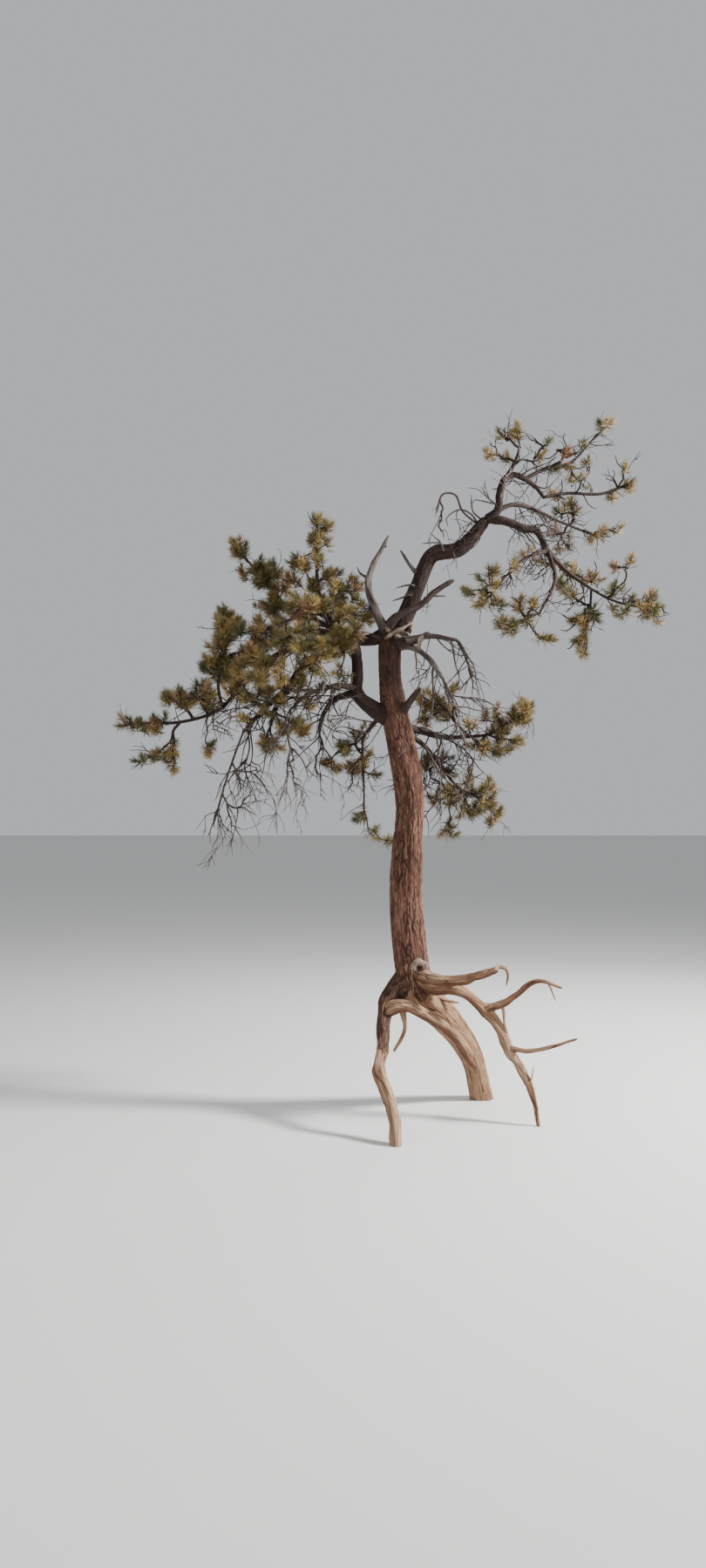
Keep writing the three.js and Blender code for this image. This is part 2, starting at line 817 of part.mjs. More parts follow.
// Adds the nodes of a twig from the best joint that keeps it clear and in its space
function growTwig(mass, nodes, stemPoints, site, random) {
  for (const joint of rankJoints(nodes, site)) {
    const curve = twigCurve(nodes[joint], site, mass.bare, random);
    const fits = curve.getPoints(TWIG_SAMPLES).slice(1).every((point) => (
      gapAt(point, mass.name) > TWIG_CLEARANCE && insideSpace(point, mass.lobes, stemPoints)
    ));
    if (fits) {
      const steps = site.distanceTo(nodes[joint].point) > LONG_TWIG ? 3 : 2;
      const chain = [joint];
      for (let step = 1; step <= steps; step += 1) {
        const share = step / steps;
        const parent = chain[chain.length - 1];
        nodes.push({
          point: curve.getPoint(share), heading: curve.getTangent(share), parent, tip: share === 1,
        });
        chain.push(nodes.length - 1);
      }
      return chain;
    }
  }
  return null;
}

// Every twig is as thick as the number of tips beyond it asks for
function twigRadii(nodes, limit) {
  const tips = nodes.map((node) => (node.tip ? 1 : 0));
  for (let index = nodes.length - 1; index > 0; index -= 1) tips[nodes[index].parent] += tips[index];
  return tips.map((count) => Math.min(TWIG_TIP_RADIUS * Math.max(count, 1) ** TWIG_THICKENING, limit));
}

function standMass(mass, { nodes, radii, twigs }) {
  nodes.slice(1).forEach((node, index) => {
    stand(mass.name, nodes[node.parent].point, node.point, radii[index + 1]);
  });
  if (!mass.bare) {
    for (const { chain, size } of twigs) {
      const site = nodes[chain[chain.length - 1]].point;
      stand(mass.name, site, site, TUFT_REACH * size);
    }
  }
}

function growMass(mass, number, limbs) {
  const random = randomFrom(FIRST_SEED + number);
  const carrier = limbs.get(mass.from);
  const foot = Math.round((mass.fromShare ?? 1) * (carrier.points.length - 1));
  const nodes = growStem(mass, carrier.points[foot]);
  const stemCount = nodes.length;
  const stemPoints = nodes.map((node) => node.point);
  const endSize = Math.max(TUFT_LEAST, tuftSize(mass, stemPoints[stemCount - 1]));
  const twigs = [{ chain: [stemCount - 2, stemCount - 1], size: endSize }];
  const sites = chooseSites(mass.lobes, random);
  sites.sort((a, b) => distanceToNearest(stemPoints, a) - distanceToNearest(stemPoints, b));
  for (const site of sites) {
    const size = tuftSize(mass, site);
    const chain = size < TUFT_LEAST ? null : growTwig(mass, nodes, stemPoints, site, random);
    if (chain) twigs.push({ chain, size });
  }
  const radii = twigRadii(nodes, carrier.widths[foot] * STEM_SHARE);
  return { nodes, radii, stemCount, twigs };
}

// The fused solid of a mass, or a slightly larger one that keeps its neighbours clear of it
function massSolid(mass, { nodes, radii, stemCount, twigs }, spare) {
  const wider = radii.map((radius) => radius + spare / Math.cos(Math.PI / TWIG_SIDES));
  const places = (indices) => indices.map((index) => nodes[index].point);
  let solid = tube(places([...Array(stemCount - 1).keys()]), wider.slice(0, stemCount - 1), STEM_SIDES);
  for (const { chain, size } of twigs) {
    const widths = chain.map((index) => wider[index]);
    widths[0] = Math.min(widths[1], widths[0] * ROOT_SHARE);
    const spareSize = size * (1 + spare / TUFT_MIDDLE);
    solid = solid.add(
      mass.bare ? tube(places(chain), widths, TWIG_SIDES) : tuftedTwig(places(chain), widths, spareSize),
    );
  }
  return solid;
}

function buildTree() {
  const tree = new THREE.Group();
  const limbs = new Map();
  const cutters = [];
  const ground = groundBlock();
  const addMesh = (name, solid, material) => {
    const mesh = new THREE.Mesh(geometryOfSolid(solid), material);
    mesh.name = name;
    tree.add(mesh);
  };
  for (const limb of LIMBS) {
    const sides = limb.sides ?? LIMB_SIDES;
    const sampled = sampleLimb(limb);
    const solid = cutAway(tube(sampled.points, sampled.widths, sides), [...cutters, ground]);
    cutters.push(grown(sampled, sides));
    limbs.set(limb.name, sampled);
    sampled.points.slice(1).forEach((point, index) => {
      stand(limb.name, sampled.points[index], point, sampled.widths[index]);
    });
    addMesh(limb.name, solid, WOODS[limb.wood]);
  }
  MASSES.forEach((mass, number) => {
    const growth = growMass(mass, number, limbs);
    const solid = cutAway(massSolid(mass, growth, 0), cutters);
    standMass(mass, growth);
    cutters.push(massSolid(mass, growth, GAP));
    addMesh(mass.name, solid, mass.bare ? BARE_TWIGS : NEEDLES);
  });
  return tree;
}

export default buildTree();
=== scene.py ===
import math
from collections import namedtuple
from dataclasses import dataclass, replace

import bmesh
import bpy
import numpy as np
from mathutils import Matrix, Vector, noise


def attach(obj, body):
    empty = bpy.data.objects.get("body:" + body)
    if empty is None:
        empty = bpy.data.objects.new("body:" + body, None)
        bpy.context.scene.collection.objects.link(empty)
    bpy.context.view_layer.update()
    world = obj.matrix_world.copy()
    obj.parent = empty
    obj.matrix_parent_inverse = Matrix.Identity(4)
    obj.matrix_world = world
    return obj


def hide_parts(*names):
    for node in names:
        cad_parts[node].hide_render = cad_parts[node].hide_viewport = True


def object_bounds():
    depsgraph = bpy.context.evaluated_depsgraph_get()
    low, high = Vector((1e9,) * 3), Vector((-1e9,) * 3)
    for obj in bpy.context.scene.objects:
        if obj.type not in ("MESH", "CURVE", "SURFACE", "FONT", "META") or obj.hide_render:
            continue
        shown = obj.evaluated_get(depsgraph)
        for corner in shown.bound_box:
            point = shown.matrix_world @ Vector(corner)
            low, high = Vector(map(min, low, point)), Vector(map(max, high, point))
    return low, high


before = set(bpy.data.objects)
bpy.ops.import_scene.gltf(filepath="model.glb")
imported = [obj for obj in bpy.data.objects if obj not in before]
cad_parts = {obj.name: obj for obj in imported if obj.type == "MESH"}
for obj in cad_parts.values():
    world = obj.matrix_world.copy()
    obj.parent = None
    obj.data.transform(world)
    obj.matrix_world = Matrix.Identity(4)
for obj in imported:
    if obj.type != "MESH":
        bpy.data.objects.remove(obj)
cad_low, cad_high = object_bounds()

MM = 0.001

# The photograph's camera, in metres and degrees
CAMERA_PLACE = (-1.070, -9.150, 2.248)
CAMERA_PITCH = 2.29
CAMERA_LENS = 25.0
CAMERA_SENSOR = 36.0

# Lights: place and target in metres, width of the disk, power in watts
LIGHTS = {
    "key": ((7.8, -1.6, 7.2), (-0.8, -0.4, 3.0), 2.0, 3400),
    "fill": ((-6.5, -6.0, 4.5), (-0.8, -0.4, 2.8), 5.0, 190),
    "back": ((2.5, 6.5, 6.5), (-0.8, -0.4, 3.2), 4.0, 300),
}
SKY_COLOUR = (0.86, 0.89, 0.93)
SKY_STRENGTH = 0.6
FLOOR_COLOUR = (0.68, 0.67, 0.65)
FLOOR_HALF = 300.0
FLOOR_DROP = 0.001

# The rule that the part's own twigs follow
TUFT_REACH = 84
TUFT_LEAST = 0.5
TUFT_SPARE = 2
TWIG_TIP_RADIUS = 5
TWIG_THICKENING = 0.4
TWIG_CLEARANCE = 16
TWIG_SAMPLES = 8
LONG_TWIG = 260
LEAVE_STRAIGHT = 0.8
LEAVE_ALONG = 0.6
TIP_LIFT = 0.8
BARE_TIP_DROOP = -0.35
HANDLE = 0.35
WOBBLE = 0.1
STEM_STEP = 130
STEM_LEAST_STEPS = 3
STEM_REACH = 300
STEM_SHARE = 0.85
LOBE_REACH = 1.4
SITE_TRIES = 9
JOINT_TRIES = 6
TURN_COST = 1.7
FIRST_SEED = 4100

# Finer twigs: sizes, and how they leave and wander
FINE_SEED = 7300
PIECE_TRIANGLES = 190000
BOX_MARGIN = 8
NEEDLE_MARGIN = 1
STEM_SINK = 12
STEM_DIVISIONS = 6
TWIG_STEP = 22
TWIG_LEAST_PLACES = 7
TWIG_FOOT = 1.1
WAVES = (0.8, 3.2)
PLACES_PER_WAVE = 6
WAVE_FADE = 0.6
WAVE_SIZES = (0.5, 1)
WANDER_STEP = 22
WANDER_LEAST_STEPS = 4
WANDER_HOLD = 0.72
WANDER = 0.26
WANDER_PULL = 0.1
LIVE_TWIGS = dict(size=1, tip=0.72, angles=(0.6, 1.2))
BARE_TWIGS = dict(size=0.78, tip=0.45, angles=(0.3, 0.8), spacing=140, length=(140, 400), droop=-1.5)
TWIGLET_CLEARANCE = 2
TWIGLET_PLACES = (0.12, 0.85)
TWIGLET_SHARE = 0.6
TWIGLET_SINK = 0.4
TWIGLET_TIP = 1.8
TWIGLET_LEAST = 2.6
TWIGLET_MOST = 2.8
TWIGLET_GAIN = 0.011
FORK_SPACING = 230
FORK_PLACES = (0.25, 0.85)
FORK_ANGLES = (0.5, 1.0)
FORK_LENGTHS = (0.35, 0.7)
FORK_SHARE = 0.75
FORK_DEPTH = 2
HANGING_PLACES = (0.25, 0.97)
HANGING_ASIDE = (0.2, 1)
HANGING_UP = (-1, 0.5)
HANGING_AHEAD = (0.2, 1.3)
HANGING_SINK = 0.7
HANGING_RADIUS = 3.2
HANGING_GAIN = 0.008
TUBE_SIDES = [(9, 7), (5.5, 6), (3, 5)]
TUBE_LEAST_SIDES = 3
TINY = 1e-9
LEVEL_HELPER = [0.3, 0.9, 0.31]
UPRIGHT_HELPER = [0.2, 0.1, 0.97]

# Side shoots below a tuft, each with a smaller tuft
SIDE_SHOOTS = 2
SHOOT_BACK = (55, 110)
SHOOT_ANGLE = (0.6, 1.0)
SHOOT_LENGTH = (70, 125)
SHOOT_SIZE = (0.75, 0.95)
SHOOT_LIFT = 0.35
SHOOT_RISE = 0.5
SHOOT_HANDLE = 25
SHOOT_PLACES = 5
SHOOT_RADII = (4.6, 3.2)
SHOOT_ROOM = 60
TUFT_FINE_LEAST = 0.55

# Finer growth by region. A hanging row is the spacing, shortest, longest and droop of a limb's dead twigs.
REGIONS = {
    "left": dict(
        more_tufts=1.5, more_bare=0.35, bare_in_bare=1.6, side_shoots=0.85, winding=0.045,
        spacing=210, length=(80, 260), droop=-0.2, dead_twiglets=0.5, pale_twigs=0.07,
        tints=dict(green=3, olive=5, gold=4, tan=0.7, rust=0.4),
        hanging={
            "left_middle": (46, 180, 520, -0.7),
            "left_outer": (56, 160, 480, -0.6),
            "left_elbow": (40, 240, 620, -0.75),
            "left_elbow_front": (38, 240, 660, -0.75),
            "left_pale": (30, 260, 660, -0.9),
        },
    ),
    "middle": dict(
        more_tufts=1.1, more_bare=0.5, bare_in_bare=1.0, side_shoots=0.7, winding=0.05,
        spacing=150, length=(80, 280), droop=-0.5, dead_twiglets=0.7, pale_twigs=0.22,
        tints=dict(green=2, olive=5, gold=3, tan=1, rust=0.6),
        hanging={
            "mid_right": (48, 260, 720, -0.75),
            "mid_right_low": (54, 220, 620, -0.7),
            "dead_high": (130, 140, 380, -0.8),
            "dead_low": (90, 140, 400, -0.8),
            "mid_left": (30, 220, 600, -0.6),
            "trunk_stub": (110, 70, 160, -0.3),
        },
    ),
    "right": dict(
        more_tufts=0.6, more_bare=1.2, bare_in_bare=1.0, side_shoots=0.3, winding=0.075,
        spacing=190, length=(80, 280), droop=-0.1, dead_twiglets=0.5, pale_twigs=0.28,
        tints=dict(green=2.5, olive=5, gold=3, tan=1, rust=0.5),
        hanging={
            "right_bough": (36, 160, 440, -0.6),
            "right_outer": (55, 140, 380, -0.4),
            "right_inner": (50, 120, 340, -0.4),
            "right_low_left": (50, 120, 300, -0.4),
            "right_stem": (48, 120, 340, 0.1),
            "arch_rise": (70, 100, 300, 0.3),
            "arch_top": (40, 140, 380, 0.5),
            "arch_end": (40, 140, 380, 0.3),
            "leader_upper": (70, 120, 360, -0.1),
            "crossing_snag": (140, 60, 150, 0.2),
        },
    ),
}

# Needles: their sizes, then the number on a full tuft, how far back along the twig they sit, and
# their angles at the back and at the tip
NEEDLE_LENGTH = 75
NEEDLE_HELPER = [0.31, 0.52, 0.79]
NEEDLE_WIDTH = 2.6
NEEDLE_FOOT = 0.58
NEEDLE_ROOT = 3
NEEDLE_TURN = 8
NEEDLE_VARIETY = 0.08
BUNDLE = 4
BUNDLE_SPREAD = 0.1
BUNDLE_LENGTHS = (0.9, 1.02)
LIVING_NEEDLES = (160, 70, (82, 8))
OLD_NEEDLES = (48, 105, (88, 55))
OLD_TINTS = {
    "green": dict(olive=3, tan=1, green=1),
    "olive": dict(tan=2, rust=1, olive=2),
    "gold": dict(tan=3, rust=1, olive=2),
    "tan": dict(rust=2, tan=2),
    "rust": dict(rust=2, tan=1),
}

# Kinds of wood: slot, ring spacing, twist per metre, lumps and their shape, and the darkening of the
# underside, by stain and painted shade
Wood = namedtuple("Wood", "slot stretch twist lumps lump_shape stain")
WOODS = {
    "bark": Wood("bark", 1.5, 0.25, 0.16, (1.1, 4.5), 0.2),
    "bough": Wood("bark", 2.0, 0.4, 0.12, (1.5, 1.3), 0.2),
    "dead": Wood("dead_wood", 2.0, 1.1, 0.2, (1.1, 3.5), 0.3),
    "root": Wood("root_wood", 1.8, 0.7, 0.34, (0.95, 4), 0.9),
}

# Surfaces of trunk, boughs and roots
SURFACE_STEP = 0.09
FINEST_STEP = 5.2
COARSEST_STEP = 6.6
LEAST_SIDES = 10
LEAST_RINGS = 8
AXIS_SHARES = 8
FLARE = 0.35
FLARE_REACH = 1.3
FLARE_LIMIT = 0.8
LUMP_SIZES = (24, 170)
STEEP = 0.8
CELL_SCALE = 7.3
# Painted shade on the underside: the upward lean of the surface where it starts and where it is full, and
# the share of the lumps in its edge
UNDERSIDE_SHADE_STEP = (0.05, -0.75)
UNDERSIDE_SHADE_EDGE = 0.3
SEED_STEP = 3.7
SEED_SHIFT = 40
SWAY_SHIFTS = (0, 31, 67)
NO_RELIEF = (0, 0, 0)
DARK_EDGE = 500
BARK_EDGE = 160
BARK_EDGE_SIZE = 90

# Plates of bark between fissures: sizes, and depth by the limb's radius
PLATE_SHARE = 0.26
PLATE_WIDTHS = (12, 27)
PLATE_LENGTH = 10
PLATE_SWAY = 0.6
FISSURE_WIDTH = 0.13
CRACK_WIDTH = FISSURE_WIDTH * 0.9
CRACKS = 1.9
CRACK_SHIFT = 17
CRACK_SWAY = 0.3
CRACK_SHARE = 0.5
BARK_SWAY = [0.6, 0.6, 3.5]
BARK_SWAY_SHARES = [1, 1, 0.4]
BARK_FADE = [0.5, 0.5, 0.6]
BARK_FADE_STEP = (-0.35, 0.2)
FADE_SHIFT = 41
FAINTEST_FISSURE = 0.25
FLAKES = [3.1, 3.1, 6]
FLAKE_GROOVE = 0.15
FLAKE_HEIGHT = 0.25
PLATE_RISE = 0.2
PLATE_TOP = 0.8
BARK_DEPTH = 0.075
BARK_DEPTHS = (1, 9)

# Grain of bare wood: sizes, widths of furrows and splits, and depth by the limb's radius
GRAIN_WIDTH = 16
GRAIN_LENGTH = 420
GRAIN_SWAY = 0.6
FURROW_WIDTH = 0.2
SPLIT_WIDTH = 0.07
GRAIN_SWAY_SIZE = [0.5, 0.5, 2.5]
SPLITS = [0.4, 0.4, 0.6]
SPLIT_SHIFT = 23
GRAIN_FADE = [0.3, 0.3, 1.5]
GRAIN_FADE_STEP = (-0.1, 0.35)
FAINTEST_FURROW = 0.2
HAIR = [2.6, 2.6, 1.6]
HAIR_SHIFT = 5
HAIR_HEIGHT = 0.3
FURROW_GROOVE = 0.3
FURROW_DEPTH = 0.6
SPLIT_GROOVE = 0.95
SPLIT_DEPTH = 1.8
GRAIN_DEPTH = 0.07
GRAIN_DEPTHS = (0.6, 4.4)

# Ends of limbs
END_ROUNDING = 1.4
END_SHARE = 0.6
HOLLOW_CALM = 1.6
# Painted shade inside a hollow: full up to the first share of the end's width from the end, gone at the
# second
HOLLOW_SHADE = (0.1, 0.42)
BROKEN_REACH = 45
BROKEN_SLIVERS = 34
BROKEN_SHARE = 0.45
SLIVER_WIDTH = 6
SLIVER_LEVEL = 3.3
RIM_SHARE = 0.6
RIM_HEIGHT = 0.3
HOLLOW_DEPTH = 0.3

# Burls: limb, centre, reach, height, and whether its wood is bare
BURL_RIM = 0.45
BURL_WIDTH = 0.42
BURL_EDGE = (1.25, 0.85)
BURLS = [
    ("right_root", [-30, -590, 815], 50, 12, True),
    ("right_root", [135, -650, 525], 45, 10, True),
    ("right_root", [230, -715, 375], 40, 10, True),
    ("left_root", [-880, -980, 445], 55, 12, True),
    ("front_root", [-760, -620, 850], 60, 14, True),
    ("trunk", [-735, -430, 3130], 75, 18, False),
    ("trunk", [-775, -400, 3830], 90, 22, False),
    ("leader_lower", [-384, -460, 4530], 60, 12, False),
    ("dead_high", [-490, -585, 3775], 35, 10, True),
]

# Strips without bark: limb, both ends and half width
STRIP_GRAIN = [18, 18, 70]
STRIP_ROUGHNESS = 0.9
STRIP_EDGE = (1.15, 0.9)
BARE_STRIPS = [
    ("trunk", [-592, -445, 3270], [-572, -445, 2940], 36),
    ("trunk", [-640, -510, 1150], [-600, -500, 960], 24),
]


@dataclass
class Limb:
    """A limb or a small piece: its wood, and its radii and places from foot to tip."""

    name: str
    wood: str
    radii: list
    route: list
    steps: int = 6
    end: str = None
    tone: str = None
    lumps: float = None
    stain: float = 0
    rooted: bool = True
    bark_above: tuple = None
    dark_above: tuple = None
    marks: object = None
    nodes: tuple = ()


@dataclass
class Mass:
    """A mass of the crown: its stem, and the lobes that hold its tufts, finer tufts and bare tips."""

    region: str
    name: str
    carrier: str
    stem: list
    lobes: list
    tufts: list = ()
    tips: list = ()
    fullness: float = 1
    from_share: float = 1
    bare: bool = False


def loose(name, radii, route, lumps=0.5):
    """A broken pale piece that lies on the fork, with no foot in a limb."""
    return Limb(name, "dead", radii, route, tone="pale", lumps=lumps, rooted=False)


# Where limbs meet
COLLAR = [-605, -400, 1080]
FORK = [-775, -400, 3830]
ELBOW = [-420, -390, 4460]
ARCH_FOOT = [10, -460, 4735]
ARCH_TOP = [325, -390, 5085]
RIGHT_FORK = [505, -400, 4495]
RISER_TOP = [-1075, -480, 3725]
LEFT_FORK = [-1160, -340, 3805]
PALE_FORK = [-1615, -550, 3325]

# Limbs that run on into each other and share one surface
JOINED_LIMBS = [
    ["leader_lower", "leader_upper"],
    ["arch_rise", "arch_top", "arch_end"],
    ["left_riser", "left_middle"],
    ["left_top", "left_outer"],
]

LIMBS = [
    Limb("trunk", "bark", [96, 90, 102, 128, 136, 136, 124, 119, 119, 113, 94, 96],
         [[28, 30, -120], [-95, -100, 370], [-330, -270, 710], [-550, -385, 940], [-615, -400, 1200],
          [-645, -405, 1750], [-635, -420, 2100], [-622, -420, 2420], [-652, -410, 2720],
          [-715, -400, 3080], [-770, -400, 3430], [-775, -400, 3845]], bark_above=(900, 950),
         dark_above=(2900, 3600), steps=20),
    Limb("leader_lower", "bough", [88, 72, 62, 62],
         [[-765, -400, 3760], [-650, -370, 3950], [-545, -360, 4210], ELBOW], steps=8),
    Limb("leader_upper", "bough", [63, 61, 44], [ELBOW, [-215, -420, 4500], ARCH_FOOT], steps=7),
    Limb("arch_rise", "bough", [36, 27],
         [ARCH_FOOT, [95, -475, 4800], [112, -480, 4935], [155, -460, 5060]]),
    Limb("arch_top", "bough", [27, 22], [[150, -462, 5050], [232, -430, 5105], ARCH_TOP]),
    Limb("arch_end", "bough", [22, 15], [ARCH_TOP, [425, -350, 5030], [495, -320, 4955]]),
    Limb("right_bough", "bough", [38, 26],
         [ARCH_FOOT, [150, -480, 4712], [300, -480, 4655], [405, -460, 4640], RIGHT_FORK]),
    Limb("right_outer", "bough", [22, 12],
         [RIGHT_FORK, [595, -360, 4405], [720, -320, 4310], [885, -280, 4205]]),
    Limb("right_inner", "bough", [19, 10], [RIGHT_FORK, [548, -500, 4240], [410, -580, 3945]]),
    Limb("right_low_left", "bough", [18, 9], [RIGHT_FORK, [300, -560, 4390], [170, -650, 4270]]),
    Limb("right_stem", "bough", [22, 12],
         [ARCH_FOOT, [205, -400, 4865], [400, -290, 4870], [620, -170, 4810]]),
    Limb("left_riser", "bough", [60, 40],
         [[-770, -400, 3130], [-910, -430, 3205], [-1030, -460, 3310], [-1035, -470, 3520], RISER_TOP],
         steps=8),
    Limb("left_top", "bough", [50, 33], [FORK, [-920, -410, 3765], [-1030, -375, 3762], LEFT_FORK]),
    Limb("left_middle", "bough", [34, 26],
         [RISER_TOP, [-1245, -500, 3695], [-1440, -520, 3555], PALE_FORK]),
    Limb("left_pale", "dead", [26, 13], [PALE_FORK, [-1790, -580, 3165], [-1935, -600, 2995]], tone="dark"),
    Limb("left_outer", "bough", [33, 16],
         [LEFT_FORK, [-1640, -290, 3685], [-1890, -280, 3505], [-2140, -260, 3225]], steps=8),
    Limb("left_elbow", "bough", [32, 14],
         [[-1035, -465, 3330], [-1220, -360, 3285], [-1305, -300, 3180], [-1350, -270, 3045]]),
    Limb("left_elbow_front", "dead", [25, 12],
         [[-1035, -465, 3370], [-1220, -610, 3360], [-1430, -725, 3275], [-1550, -770, 3160]], tone="dark"),
    Limb("mid_left", "dead", [24, 13], [[-730, -370, 3190], [-860, -230, 3140], [-990, -150, 2990]],
         tone="dark"),
    Limb("mid_right", "bough", [31, 15],
         [[-680, -390, 3070], [-550, -290, 3045], [-330, -230, 2990], [-115, -210, 2995]]),
    Limb("mid_right_low", "bough", [24, 12], [[-680, -390, 3030], [-490, -250, 2920], [-310, -180, 2700]]),
    Limb("snag", "dead", [38, 32, 26, 11],
         [[-790, -420, 3790], [-875, -505, 3950], [-950, -512, 4210], [-790, -495, 4580]], end="broken",
         steps=9),
    Limb("crossing_snag", "dead", [33, 20],
         [[-815, -450, 3830], [-730, -520, 3920], [-535, -530, 4020], [-415, -520, 4130],
          [-270, -510, 4225]], tone="dark", end="broken"),
    Limb("dead_high", "dead", [34, 15],
         [[-750, -420, 3750], [-630, -510, 3740], [-470, -570, 3765], [-255, -630, 3722]]),
    Limb("dead_low", "dead", [28, 16],
         [[-720, -410, 3710], [-590, -480, 3690], [-440, -520, 3565], [-355, -520, 3435]]),
    Limb("trunk_stub", "dead", [32, 20], [[-690, -440, 3130], [-635, -510, 3230], [-540, -550, 3345]],
         tone="dark", end="broken", steps=5),
    Limb("leader_stub", "dead", [19, 9], [[-520, -365, 4285], [-600, -410, 4360], [-685, -430, 4485]],
         end="broken", steps=6),
    Limb("left_root", "root", [84, 56, 44, 45, 43],
         [COLLAR, [-800, -540, 870], [-850, -850, 560], [-880, -980, 445], [-812, -1130, 270],
          [-772, -1250, 150], [-772, -1380, -60]], bark_above=(565, 600), steps=14),
    Limb("front_root", "root", [42, 40, 43],
         [[-800, -590, 820], [-720, -640, 868], [-630, -628, 852], [-455, -530, 745], [-265, -350, 595],
          [-150, -220, 420], [-20, -60, 220]], steps=11),
    Limb("right_root", "root", [64, 44, 42, 32, 11],
         [COLLAR, [-420, -510, 990], [-250, -560, 980], [-30, -590, 815], [65, -610, 690], [135, -650, 525],
          [230, -715, 375], [300, -800, 190], [330, -860, -40]], steps=14),
    Limb("upper_root", "root", [60, 42, 40, 24],
         [[-595, -420, 1140], [-465, -600, 1070], [-245, -720, 1075], [25, -860, 1175]]),
    Limb("reaching_root", "root", [30, 24, 10],
         [[-60, -588, 830], [120, -655, 900], [330, -765, 1072], [520, -810, 1030]]),
    Limb("side_root", "root", [20, 17, 8], [[125, -650, 540], [310, -780, 550], [620, -870, 655]]),
    Limb("hanging_root", "root", [20, 12], [[-690, -625, 850], [-670, -640, 680], [-755, -650, 515]]),
]

